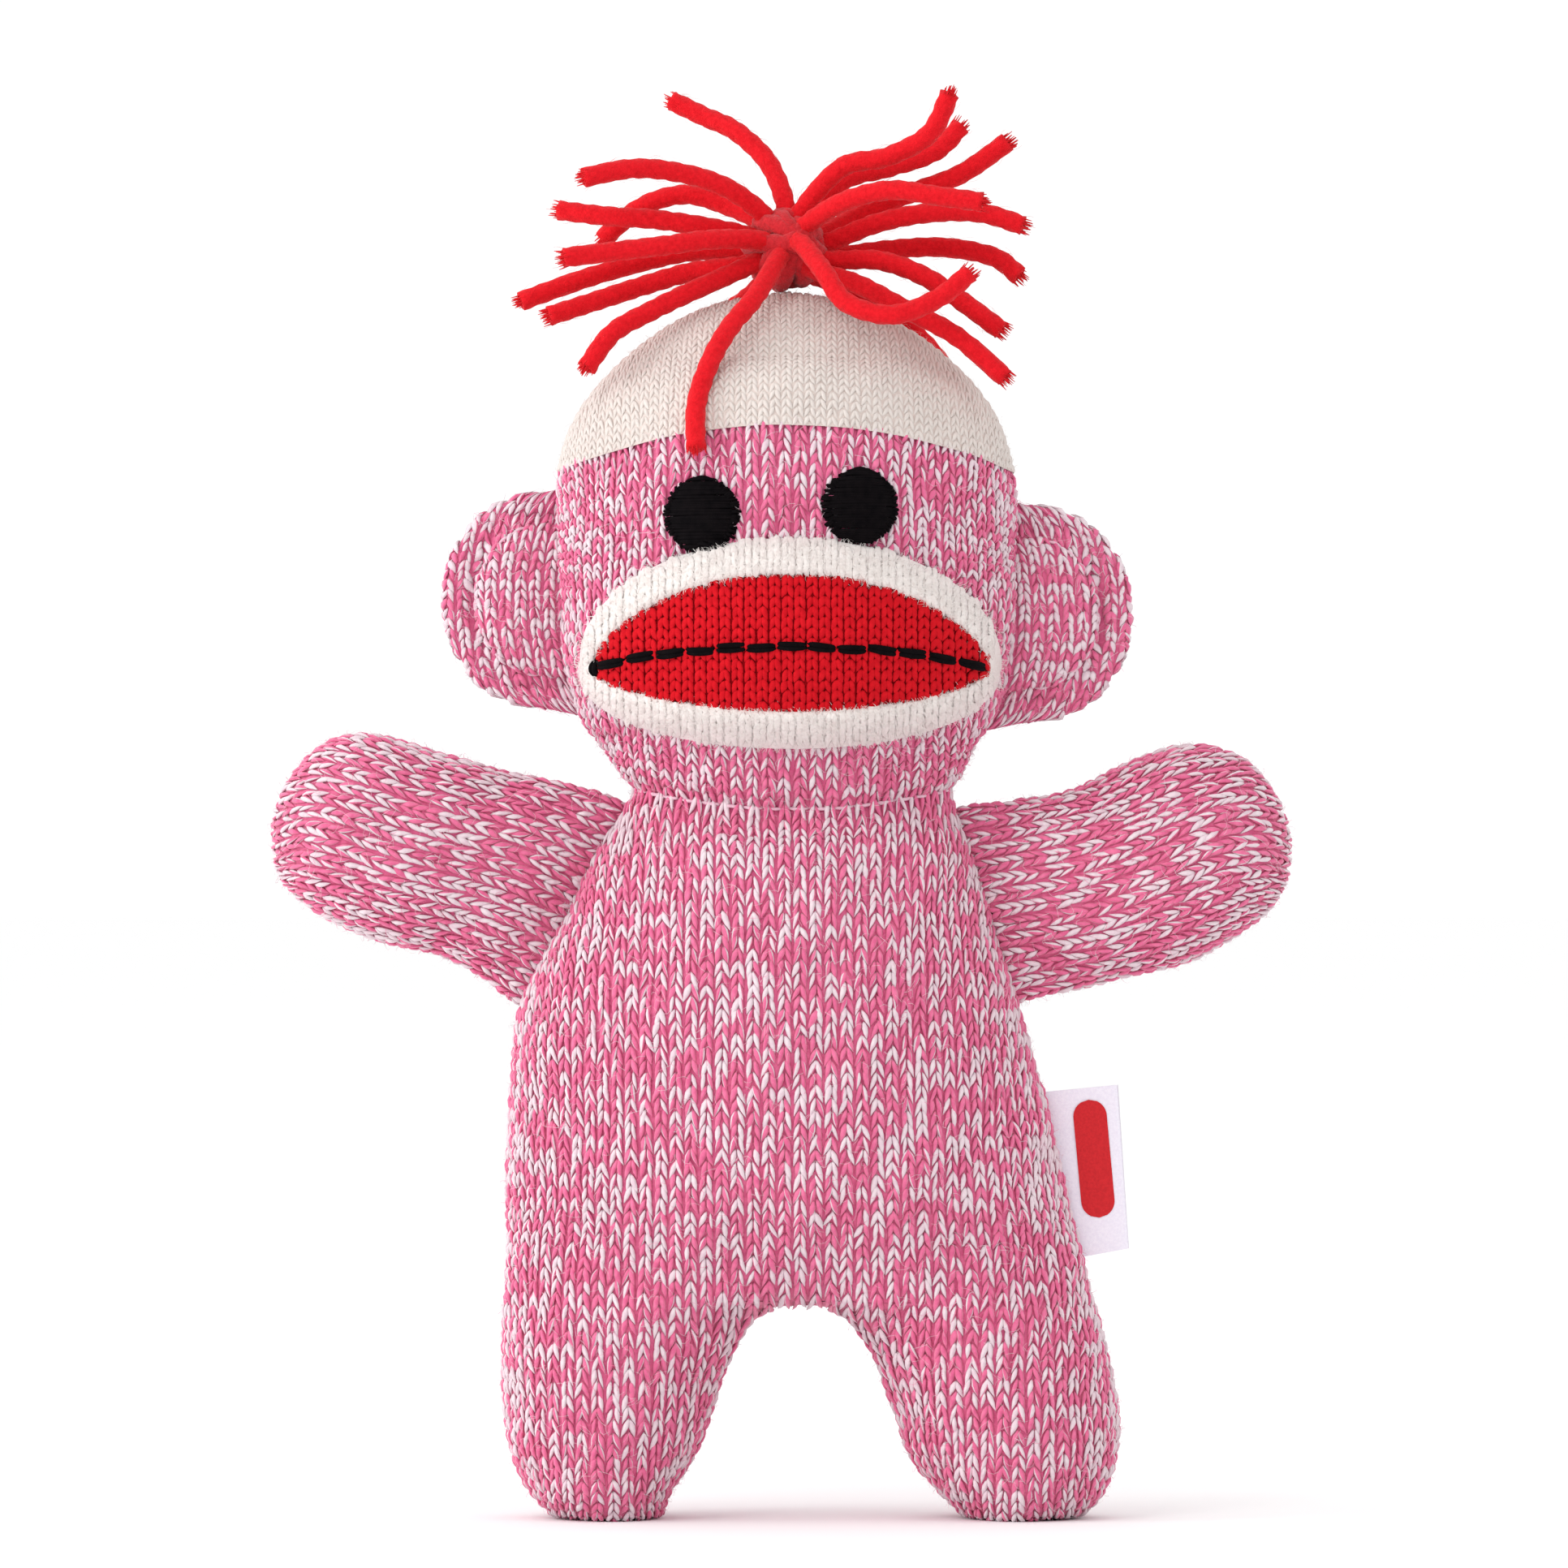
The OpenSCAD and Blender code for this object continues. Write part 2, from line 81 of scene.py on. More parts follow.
CAMERA_LENS, CAMERA_AWAY = 295.8, 2.0
CAMERA_X, CAMERA_Z = 0.00044, 0.1139


def look_from_the_front():
    camera = bpy.data.cameras.new("camera")
    camera.sensor_width = 36
    camera.lens = CAMERA_LENS
    camera.clip_end = 20
    eye = bpy.data.objects.new("camera", camera)
    eye.location = (CAMERA_X, SEAM_Y * MM - CAMERA_AWAY, CAMERA_Z)
    eye.rotation_euler = (math.pi / 2, 0, 0)
    bpy.context.scene.collection.objects.link(eye)
    bpy.context.scene.camera = eye


def soft_light(name, place, size, power, aim):
    light = bpy.data.lights.new(name, "AREA")
    light.shape = "DISK"
    light.size = size
    light.energy = power
    lamp = bpy.data.objects.new(name, light)
    lamp.location = place
    way = np.array(aim) - np.array(place)
    lamp.rotation_euler = (
        math.acos(-way[2] / np.linalg.norm(way)), 0, math.atan2(way[1], way[0]) - math.pi / 2)
    bpy.context.scene.collection.objects.link(lamp)


look_from_the_front()


# ---------------------------------------------------------------- colour and finish

def linear(colour):
    """A colour of 0 to 255 as the numbers a shader takes."""
    c = np.array(colour, float) / 255
    low = c / 12.92
    high = ((c + 0.055) / 1.055) ** 2.4
    return (*np.where(c <= 0.04045, low, high), 1)


def settings(node, **values):
    """Sets a node's sockets. An underscore in a name stands for a space."""
    for socket, value in values.items():
        node.inputs[socket.replace("_", " ")].default_value = value


def fibre(name, light, dark, rough=0.85, sheen=0.25, tint=(1, 1, 1, 1), grain=900, bump=0.12, fine=3200,
          gloss=0.25):
    """A spun-yarn finish: two close colours mottled along the yarn, and a fine fibrous bump."""
    m = bpy.data.materials.new(name)
    m.use_nodes = True
    tree = m.node_tree
    shader = tree.nodes["Principled BSDF"]
    place, mottle, ramp, fuzz, relief = (tree.nodes.new(kind) for kind in (
        "ShaderNodeTexCoord", "ShaderNodeTexNoise", "ShaderNodeValToRGB", "ShaderNodeTexNoise",
        "ShaderNodeBump"))
    settings(mottle, Scale=grain, Detail=3)
    for end, position, colour in zip(ramp.color_ramp.elements, (0.32, 0.68), (dark, light)):
        end.position = position
        end.color = linear(colour)
    settings(fuzz, Scale=fine, Detail=2, Distortion=0.8)
    settings(relief, Strength=0.7, Distance=bump * MM)
    for start, out, end, into in (
        (place, "Object", mottle, "Vector"), (place, "Object", fuzz, "Vector"),
        (mottle, "Fac", ramp, "Fac"), (ramp, "Color", shader, "Base Color"),
        (fuzz, "Fac", relief, "Height"), (relief, "Normal", shader, "Normal"),
    ):
        tree.links.new(start.outputs[out], end.inputs[into])
    settings(shader, Roughness=rough, Specular_IOR_Level=gloss, Sheen_Weight=sheen, Sheen_Roughness=0.5,
             Sheen_Tint=tint)
    return m


PINK = fibre("pink_yarn", (230, 116, 155), (214, 92, 136), sheen=0.4)
WHITE = fibre("white_yarn", (228, 214, 218), (219, 194, 204))
# The backing under the stitches: the yarn's own pink, made a little darker as painted shade between the
# stitches.
MARL_SHADE = fibre("marl_backing_painted_shade", (226, 110, 150), (206, 84, 128), sheen=0.4, bump=0.2)
CREAM = fibre("cream_yarn", (219, 210, 204), (213, 203, 197))
# The cap's backing: its own cream, made a little darker as painted shade in the holes and gaps between the
# stitches.
CREAM_SHADE = fibre("cream_backing_painted_shade", (216, 203, 196), (206, 190, 183), bump=0.2)
FELT = fibre("brushed_cream", (239, 233, 229), (233, 224, 220), grain=700, bump=0.45, fine=1600)
RED = fibre("red_knit_yarn", (206, 20, 32), (188, 12, 26), sheen=0.0, gloss=0.1)
# The lips' backing: their own red, made much darker as painted shade between the stitches.
RED_SHADE = fibre("red_knit_backing_painted_shade", (170, 14, 24), (146, 8, 18), sheen=0.0, gloss=0.05)
BLACK = fibre("black_thread", (15, 11, 13), (7, 5, 7), rough=0.9, sheen=0.0, gloss=0.06)
PALE = fibre("pale_thread", (228, 194, 206), (220, 172, 190))
YARN = fibre("red_tuft_yarn", (224, 22, 34), (204, 14, 26), sheen=0.2, tint=(1, 0.4, 0.4, 1), grain=1500,
             bump=0.25, fine=2400, gloss=0.12)
# The knot's yarn: the same red as the strands, darker and duller as painted shade where it lies among them.
YARN_SHADED = fibre("red_tuft_knot_painted_shade", (206, 32, 42), (180, 22, 32), sheen=0.2, grain=1500, bump=0.25, fine=2400)
TAPE = fibre("label_satin", (238, 233, 243), (230, 224, 237), rough=0.55, sheen=0.1, grain=2500, bump=0.05)
MARK = fibre("label_red_weave", (206, 28, 36), (190, 20, 30), rough=0.6, sheen=0.1, grain=2500, bump=0.05)


# ---------------------------------------------------------------- mesh making

class Build:
    """Gathers points and faces in millimetres, then makes one smooth mesh in metres."""

    def __init__(self):
        self.points, self.quads, self.tris = [], [], []
        self.quad_slots, self.tri_slots = [], []
        self.count = 0

    def add(self, points, quads=None, quad_slots=0, tris=None, tri_slots=0):
        points = np.asarray(points, float).reshape(-1, 3)
        for faces, slots, into, marks, corners in (
            (quads, quad_slots, self.quads, self.quad_slots, 4),
            (tris, tri_slots, self.tris, self.tri_slots, 3),
        ):
            if faces is None:
                continue
            faces = np.asarray(faces, int).reshape(-1, corners) + self.count
            into.append(faces)
            marks.append(np.broadcast_to(slots, (len(faces),)))
        self.points.append(points)
        self.count += len(points)

    def make(self, name, materials):
        points = np.concatenate(self.points) * MM
        quads = np.concatenate(self.quads) if self.quads else np.zeros((0, 4), int)
        tris = np.concatenate(self.tris) if self.tris else np.zeros((0, 3), int)
        slots = np.concatenate(self.quad_slots + self.tri_slots)
        corners = np.concatenate([quads.ravel(), tris.ravel()])
        starts = np.concatenate([np.arange(len(quads)) * 4, len(quads) * 4 + np.arange(len(tris)) * 3])
        mesh = bpy.data.meshes.new(name)
        mesh.vertices.add(len(points))
        mesh.vertices.foreach_set("co", points.ravel())
        mesh.loops.add(len(corners))
        mesh.loops.foreach_set("vertex_index", corners)
        mesh.polygons.add(len(starts))
        mesh.polygons.foreach_set("loop_start", starts)
        for m in materials:
            mesh.materials.append(m)
        mesh.polygons.foreach_set("material_index", slots.astype(np.int32))
        mesh.polygons.foreach_set("use_smooth", np.ones(len(starts), bool))
        mesh.update(calc_edges=True)
        mesh.validate()
        piece = bpy.data.objects.new(name, mesh)
        bpy.context.scene.collection.objects.link(piece)
        return piece


def net(rows, columns, closed=False):
    """Quads over a grid of points, rows by columns, which may close on itself across the columns."""
    last = columns if closed else columns - 1
    j, k = np.meshgrid(np.arange(rows - 1), np.arange(last), indexing="ij")
    right = (k + 1) % columns
    below, above = j * columns, (j + 1) * columns
    return np.stack([below + k, below + right, above + right, above + k], -1)


def fans(around, first_tip, last_tip, last_ring):
    """Triangles that close both ends of a ringed shape onto its two tips."""
    k = np.arange(around)
    after = (k + 1) % around
    return np.concatenate([
        np.stack([np.full(around, first_tip), after, k], -1),
        np.stack([np.full(around, last_tip), last_ring + k, last_ring + after], -1)])


def unit(rows, least=0.0):
    """Each row of numbers at length 1."""
    return rows / np.maximum(np.linalg.norm(rows, axis=-1), least)[..., None]


def tube(build, path, radius, around, twist=0.0, plies=0, ply_depth=0.0, taper=None):
    """A round tube along a path. With plies its skin is grooved by that many twisted strands."""
    path = np.asarray(path, float)
    way = unit(np.gradient(path, axis=0))
    up = np.array([0.0, 1.0, 0.0]) if abs(way[0][1]) < 0.8 else np.array([0.0, 0.0, 1.0])
    sides = []
    for w in way:
        up = up - w * np.dot(up, w)
        up /= np.linalg.norm(up)
        sides.append(up.copy())
    sides = np.array(sides)
    across = np.cross(way, sides)
    run = np.concatenate([[0], np.cumsum(np.linalg.norm(np.diff(path, axis=0), axis=1))])
    turn = np.arange(around) * 2 * np.pi / around
    swell = np.ones((len(path), around)) * radius
    if plies:
        swell *= 1 - ply_depth * (0.5 - 0.5 * np.cos(plies * (turn[None] - twist * run[:, None]))) ** 2
    if taper is not None:
        swell *= taper[:, None]
    ring = sides[:, None] * np.cos(turn)[None, :, None] + across[:, None] * np.sin(turn)[None, :, None]
    points = path[:, None] + ring * swell[..., None]
    n = len(path)
    caps = fans(around, n * around, n * around + 1, (n - 1) * around)
    build.add(np.concatenate([points.reshape(-1, 3), path[[0, -1]]]), net(n, around, True), 0, caps)


def ribbons(build, line, side, thin, slot):
    """Loose fibres as flat ribbons, each one on four places along its line."""
    n = len(line)
    points = np.stack([line - side * thin, line + side * thin], 2).reshape(n, 8, 3)
    quads = np.array([[0, 1, 3, 2], [2, 3, 5, 4], [4, 5, 7, 6]])
    build.add(points, quads[None] + (np.arange(n) * 8)[:, None, None], slot)


# ---------------------------------------------------------------- outlines

def weave(table, steps):
    """Rows on a smooth curve through the listed ones, with steps rows for each one listed."""
    p = np.array(table, float)
    q = np.vstack([p[0], p, p[-1]])
    rows = []
    for i in range(len(p) - 1):
        a, b, c, d = q[i:i + 4]
        for u in np.arange(steps) / steps:
            rows.append(b + (c - a) * u / 2 + (2 * a - 5 * b + 4 * c - d) * u * u / 2
                        + (3 * (b - c) + d - a) * u ** 3 / 2)
    rows.append(p[-1])
    return np.array(rows)


def smooth_step(x):
    x = np.clip(x, 0, 1)
    return x * x * (3 - 2 * x)


FORK_X, FORK_Z = 2.8, 33.1
FORK_BLEND = 18.0                     # height over which two legs side by side become one round body
LEG_DEPTH = 17.2
NECK_Z, NECK_SAG = 113.0, 3.1         # the neck seam, and how far its middle hangs
CAP_Z, CAP_ARCH = 162.0, 6.8          # the cap's edge, and how far its middle stands up
# Sections of the body, from the fork of the legs to the crown: x and z of the left side seam, x and z of the
# right one, and how deep the front or back stands out from the plane of the seams.
BODY = [
    [-43.2, 28, 50, 28, 21.6], [-43.0, FORK_Z, 48.7, FORK_Z, 22.2], [-42.5, 43.3, 46, 43.3, 23.5],
    [-42.6, 53, 43.8, 53, 25.5], [-42, 66, 40.6, 66, 26.5], [-40.6, 79.4, 36.9, 79.4, 25.5],
    [-34, 93, 32.8, 93, 23.5], [-29.2, 103, 29.9, 103, 20.5], [-24.8, 109.2, 27.2, 109.2, 17.8],
    [-23.6, NECK_Z, 27.2, NECK_Z, 16.6], [-25.6, 116.6, 28.4, 116.6, 18.4], [-28.6, 120.6, 30.4, 120.6, 20.6],
    [-31.4, 125, 33.2, 125, 23.2], [-34, 135, 35.8, 135, 26.2], [-34.6, 147, 36.4, 147, 27.2],
    [-34.7, 157, 36.4, 157, 27], [-34.3, CAP_Z, 35.8, CAP_Z, 26.2], [-31.6, 170.4, 33, 170.4, 23],
    [-26, 177.6, 27.6, 177.6, 18.6], [-18.5, 183.8, 19.8, 183.8, 13], [-9.5, 188, 10.8, 188, 7],
    [-1, 189.6, 2.4, 189.6, 1.2], [0.6, 190, 0.8, 190, 0.05],
]
# The same for each leg: outer seam, z, inner seam, depth.
LEFT_LEG = [[-35, 0, -18.5, 10.5], [-39.3, 4.5, -15.8, 14.5], [-42.4, 13, -12, 16.4], [-43.3, 22, -9.2, 16.8],
            [-43.2, 30, -4.4, 17], [-43.0, FORK_Z, FORK_X, LEG_DEPTH], [-42.8, 38, 10, 17.4]]
RIGHT_LEG = [[46, 0, 28.5, 10.5], [50.2, 4.5, 23.6, 14.5], [52.5, 13, 18.6, 16.4], [51.4, 22, 15.2, 16.8],
             [49.5, 30, 10.8, 17], [48.7, FORK_Z, FORK_X, LEG_DEPTH], [47.4, 38, -6, 17.4]]
# The inner side of each leg: square root of the distance below the fork, and x.
LEFT_ARCH = [[0, 2.8], [1.7, -4.3], [2.57, -6.9], [3.22, -8.8], [3.77, -10], [4.24, -11.3], [4.67, -12.7],
             [5.05, -14.6], [5.41, -17.3], [5.753, -18.5]]
RIGHT_ARCH = [[0, 2.8], [1.7, 10.6], [2.57, 13.5], [3.22, 15.2], [3.77, 16.4], [4.24, 18], [4.67, 19.2],
              [5.05, 21.4], [5.41, 24.8], [5.753, 28.5]]
# Sections of each arm, from the body to the tip of the hand: the upper seam, the lower seam and the depth.
LEFT_ARM = [[-22.6, 110.4, -38.4, 78.2, 3], [-26.6, 112.4, -42.4, 80.2, 5], [-33, 114, -46.5, 83.8, 7.4],
            [-42, 115.8, -53, 87.2, 9.8], [-53, 118.8, -62.5, 89.6, 12], [-63, 121.6, -70.5, 93, 12],
            [-71, 120.2, -75.6, 96.8, 9.5], [-76.5, 114.6, -78.3, 100.2, 5.5], [-78.7, 109, -79, 104.6, 1.8],
            [-79, 107.1, -79.05, 106.7, 0.05]]
RIGHT_ARM = [[25.3, 109.9, 34.6, 78.7, 3], [29.6, 111.2, 38.9, 80, 5], [36.5, 111.6, 45.5, 81.8, 7.4],
             [45, 113, 54, 84, 9.8], [54, 117.4, 64, 86.6, 12], [63, 120, 71, 90.6, 12],
             [71, 118.4, 75.8, 94.2, 9.5], [76.6, 112.6, 78.4, 98.4, 5.5], [78.7, 107, 79, 102.6, 1.8],
             [79, 105.1, 79.05, 104.7, 0.05]]

body_rows = weave(BODY, 8)
row_z = body_rows[:, 1]


def at_height(z, column):
    """One column of the body's outline at a height."""
    return np.interp(z, row_z, body_rows[:, column])


def inner_side(z, hand):
    """x of a leg's inner seam. Above the fork the two legs' shapes run into each other."""
    arch = np.array(LEFT_ARCH if hand < 0 else RIGHT_ARCH)
    below = np.interp(np.sqrt(np.maximum(FORK_Z - z, 0)), arch[:, 0], arch[:, 1])
    above = FORK_X - hand * 6 * np.sqrt(np.maximum(z - FORK_Z, 0))
    return np.where(z <= FORK_Z, below, above)


def leg_depth(x, z, hand):
    outer = at_height(z, 0 if hand < 0 else 2)
    inner = inner_side(z, hand)
    share = (2 * x - outer - inner) / (outer - inner)
    return LEG_DEPTH * np.sqrt(np.maximum(0, 1 - share ** 2))


def torso_depth(x, z, full):
    """The depth runs from the two legs side by side into one round body."""
    share = smooth_step((z - FORK_Z) / FORK_BLEND)
    legs = (leg_depth(x, z, -1) ** 5 + leg_depth(x, z, 1) ** 5) ** 0.2
    return legs * (1 - share) + full * share


def seam_lift(z):
    """How far the middle of a row stands above its two ends: the neck seam sags, the cap's edge arches."""
    neck = np.maximum(0, 1 - ((z - NECK_Z) / 8) ** 2)
    cap = np.maximum(0, 1 - ((z - CAP_Z) / 17) ** 2)
    return -NECK_SAG * neck + CAP_ARCH * cap


# ---------------------------------------------------------------- knitted surfaces

class Surface:
    """A panel of cloth, measured in millimetres: s across the wales and v along them.

    s is 0 at x = anchor and v is 0 at height zero_z. v is counted along the line that lies course_turn of the
    way round each row. measure says how much of the depth counts in s, and crease how deep a seam pulls.
    """

    def __init__(self, rows, way, anchor=None, depth=None, measure=None, zero_z=None, shift=0.0,
                 course_turn=0.5, crease=None, proud=0.0, columns=110, lumps=0.3, groove=0.7):
        turn = np.linspace(0, np.pi, 361)
        grid, left, span, track = [], [], [], []
        for xa, za, xb, zb, deep in rows:
            x = (xa + xb) / 2 - (xb - xa) / 2 * np.cos(turn)
            z = (za + zb) / 2 - (zb - za) / 2 * np.cos(turn)
            d = deep * np.sin(turn)
            if depth:
                d = depth(x, z, d)
            y = SEAM_Y + way * d
            if za == zb:
                z = z + seam_lift(za) * np.sin(turn) ** 2
            weight = measure(x, z) if measure else np.ones(len(x))
            depth_step = (weight[1:] + weight[:-1]) / 2 * np.diff(y) ** 2
            step = np.sqrt(np.diff(x) ** 2 + np.diff(z) ** 2 + depth_step)
            run = np.concatenate([[0], np.cumsum(step)])
            at = np.linspace(0, run[-1], columns + 1)
            grid.append(np.stack([np.interp(at, run, c) for c in (x, y, z)], -1))
            start = math.pi / 2
            if anchor is not None:
                start = math.acos(np.clip(((xa + xb) / 2 - anchor) / ((xb - xa) / 2), -1, 1))
            left.append(shift - np.interp(start, turn, run))
            span.append(run[-1])
            track.append([np.interp(math.pi * course_turn, turn, c) for c in (x, y, z)])
        self.grid = np.array(grid)
        self.left, self.span = np.array(left), np.array(span)
        self.way, self.columns = way, columns
        track = np.array(track)
        self.along = np.concatenate([[0], np.cumsum(np.linalg.norm(np.diff(track, axis=0), axis=1))])
        if zero_z is not None:
            self.along -= np.interp(zero_z, [r[1] for r in rows], self.along)
        self.finish(lumps, groove, crease, proud)

    def finish(self, lumps, groove, crease, proud):
        self.index = np.arange(len(self.along))
        self.face()
        p = self.grid
        x, z = p[..., 0], p[..., 2]
        swell = lumps * (np.sin(x * 0.31 + z * 0.13) * np.sin(z * 0.27 - x * 0.09 + 1)
                         + 0.5 * np.sin(x * 0.52 - z * 0.44 + 2))
        if groove:
            across = np.linspace(0, 1, self.columns + 1)
            edge = np.minimum(across, 1 - across)[None] * self.span[:, None]
            swell = swell * np.clip(edge / 6, 0, 1) - groove * np.exp(-(edge / 1.1) ** 2)
        if crease is not None:
            swell = swell - crease(p)
        self.grid = p + self.normal * (swell + proud)[..., None]
        self.face()

    def face(self):
        down = np.gradient(self.grid, axis=0)
        along = np.gradient(self.grid, axis=1)
        n = unit(np.cross(along, down), 1e-9)
        centre = self.columns // 2
        facing = np.sign(n[:, centre, 1] * self.way)
        level = np.sign(np.median(facing[facing != 0])) or 1
        self.normal = n * level

    def place(self, s, v):
        row = np.interp(v, self.along, self.index)
        j = np.minimum(row.astype(int), len(self.index) - 2)
        f = row - j
        left = self.left[j] * (1 - f) + self.left[j + 1] * f
        span = self.span[j] * (1 - f) + self.span[j + 1] * f
        col = np.clip((s - left) / np.maximum(span, 1e-6), 0, 1) * self.columns
        k = np.minimum(col.astype(int), self.columns - 1)
        g = (col - k)[..., None]
        f = f[..., None]
        spot, normal = (
            (a[j, k] * (1 - g) + a[j, k + 1] * g) * (1 - f)
            + (a[j + 1, k] * (1 - g) + a[j + 1, k + 1] * g) * f
            for a in (self.grid, self.normal))
        return spot, unit(normal, 1e-9)

    def inside(self, s, v, margin):
        row_left = np.interp(v, self.along, self.left)
        row_span = np.interp(v, self.along, self.span)
        return (s > row_left + margin) & (s < row_left + row_span - margin)

    def stitches(self, wale, course, low, high, margin=0.5):
        """Middles of the stitches whose row lies from v = low to v = high."""
        right = (self.left + self.span).max()
        i = np.arange(math.floor(self.left.min() / wale) - 1, math.ceil(right / wale) + 1)
        j = np.arange(math.ceil(low / course - 0.5), math.ceil(high / course - 0.5))
        s, v = (a.ravel() for a in np.meshgrid((i + 0.5) * wale, (j + 0.5) * course))
        keep = self.inside(s, v, margin)
        return s[keep], v[keep]

    def v_at(self, z):
        """v where the row at the track has that height."""
        return np.interp(z, self.grid[:, 0, 2], self.along)

    def backing(self, build, low, high, below, slot=0):
        """The cloth under the stitches. It runs on under the first row of the next panel."""
        rows = np.where((self.along >= low - 1e-6) & (self.along <= high + 1e-6))[0]
        if rows[-1] + 1 < len(self.along):
            rows = np.append(rows, rows[-1] + 1)
        points = (self.grid - self.normal * below)[rows]
        build.add(points, net(len(rows), self.columns + 1), slot)


LEG_SIDES = 6
LEG_RINGS = np.array([0.12, 0.36, 0.62, 0.86])
LEG_APART = 0.23        # how far each leg of a stitch lies from its middle, as a share of the wale
SAME_COLOUR = 0.4       # share of the legs that take the colour drawn for their stitch
# Which of a leg's six sides are white: none, all, and four ways of some for a leg spun of two colours.
WHITE_SIDES = np.array([[0, 0, 0, 0, 0, 0], [1, 1, 1, 1, 1, 1], [1, 0, 0, 0, 0, 1], [1, 1, 0, 0, 0, 1],
                        [0, 0, 1, 1, 0, 0], [0, 1, 1, 1, 0, 0]], bool)


def colour_drift(s, v):
    """How the share of white in the yarn drifts over the cloth, in patches a few stitches across."""
    over = np.sin(0.62 * s + 0.3 * v + 2 * np.sin(0.21 * v))
    along = np.sin(0.25 * s - 0.95 * v + 1.5 * np.sin(0.17 * s))
    return (1 + 0.5 * over * along
            + 0.25 * np.sin(1.3 * s - 0.4 * v) * np.sin(1.5 * v + 1))


def knit(build, surface, s, v, rng, wale, length, width, thick, tilt, share, rise, wobble, sink=-0.12,
         slots=(1, 2), point=0.8, blunt=1.25):
    """Lays two yarn legs for every stitch, an upside-down V, pointed at both ends and dipping into the cloth.

    share is the part of the legs that is all white, and the part that is spun of two colours.
    """
    n = len(s) * 2
    hand = np.tile([-1.0, 1.0], len(s))
    s = np.repeat(s, 2) + hand * wale * LEG_APART + rng.normal(0, 0.06, n) * wobble
    v = np.repeat(v, 2) + rng.normal(0, 0.1, n) * wobble
    lean = np.radians(tilt + rng.normal(0, 4, n) * wobble) * hand
    size = length * (1 + rng.normal(0, 0.06, n) * wobble)
    fat = width * (1 + rng.normal(0, 0.1, n) * wobble)
    ring = np.concatenate([[0], LEG_RINGS, [1]])
    turn = np.arange(LEG_SIDES) * 2 * np.pi / LEG_SIDES
    u = (ring - 0.5)[None, :, None] * size[:, None, None]
    swell = np.sin(np.pi * ring ** blunt)[None, :, None]
    full = np.maximum(swell, 0) ** point
    side = fat[:, None, None] / 2 * full * np.cos(turn)[None, None]
    dx, dv = -np.sin(lean)[:, None, None], np.cos(lean)[:, None, None]
    px, pv = dv, -dx
    at_s = s[:, None, None] + u * dx + side * px
    at_v = v[:, None, None] + u * dv + side * pv
    height = (sink + rise * swell + rng.normal(0, 0.05, n)[:, None, None] * wobble
              + thick / 2 * full * np.sin(turn)[None, None])
    spot, normal = surface.place(at_s, at_v)
    points = spot + normal * height[..., None]
    tips = points[:, [0, -1]].mean(2)
    body = points[:, 1:-1]
    rings, per = len(LEG_RINGS), len(LEG_RINGS) * LEG_SIDES + 2
    points = np.concatenate([body.reshape(n, -1, 3), tips], 1)
    quads = net(rings, LEG_SIDES, True).reshape(-1, 4)
    tris = fans(LEG_SIDES, per - 2, per - 1, (rings - 1) * LEG_SIDES)
    base = (np.arange(n) * per)[:, None, None]
    pick = np.where(rng.random(n) < SAME_COLOUR, np.repeat(rng.random(n // 2), 2), rng.random(n))
    pick = pick / colour_drift(s, v)
    mixed = rng.integers(2, len(WHITE_SIDES), n)
    kind = np.where(pick < share[0], 1, np.where(pick < share[0] + share[1], mixed, 0))
    white = WHITE_SIDES[kind]
    quad_slots = np.where(white[:, np.arange(len(quads)) % LEG_SIDES], slots[1], slots[0])
    tri_slots = np.where(white[:, np.arange(len(tris)) % LEG_SIDES], slots[1], slots[0])
    build.add(points, quads[None] + base, quad_slots.ravel(), tris[None] + base, tri_slots.ravel())


def hairs_at(build, surface, s, v, rng, slots, reach, stand, wide=0.055, start=0.3):
    """Loose fibre ends that stand a little off the cloth, one at each place."""
    n = len(s)
    angle = rng.uniform(0, 2 * np.pi, n)
    bend = rng.normal(0, 0.9, n)
    long = (reach * rng.uniform(0.5, 1.2, n))[:, None]
    high_off = (stand * rng.uniform(0.2, 1.0, n))[:, None]
    t = np.linspace(0, 1, 4)[None]
    heading = angle[:, None] + bend[:, None] * t
    at_s = s[:, None] + long * t * np.cos(heading)
    at_v = v[:, None] + long * t * np.sin(heading)
    spot, normal = surface.place(at_s, at_v)
    line = spot + normal * (start + high_off * np.sin(t * 2.2))[..., None]
    side = unit(np.cross(np.gradient(line, axis=1), normal), 1e-9)
    thin = (wide / 2 * (1 - 0.6 * t))[..., None]
    ribbons(build, line, side, thin, np.repeat(np.array(slots)[rng.integers(0, len(slots), n)], 3))


def fuzz(build, surface, count, low, high, rng, slots, reach=2.2, stand=1.0):
    """Loose fibre ends all over a panel."""
    s = rng.uniform(surface.left.min(), (surface.left + surface.span).max(), count * 2)
    v = rng.uniform(low, high, count * 2)
    keep = surface.inside(s, v, 0.6)
    hairs_at(build, surface, s[keep][:count], v[keep][:count], rng, slots, reach, stand)


# Stitches of the body, the head and the ears: their looks, and the height of one row.
MARL_LOOK = dict(wale=2.4, length=3.25, width=0.84, thick=0.66, tilt=16.5, rise=0.28, sink=-0.1,
                 share=(0.33, 0.34), wobble=1.2)
HEAD_LOOK = dict(MARL_LOOK, wale=2.45, length=2.9, tilt=18, share=(0.3, 0.34), wobble=1.3)
EAR_LOOK = dict(HEAD_LOOK, wale=2.25, length=2.35, share=(0.38, 0.38))
COURSE, HEAD_COURSE, EAR_COURSE = 1.95, 1.72, 1.5
BACKING_BELOW = 0.22


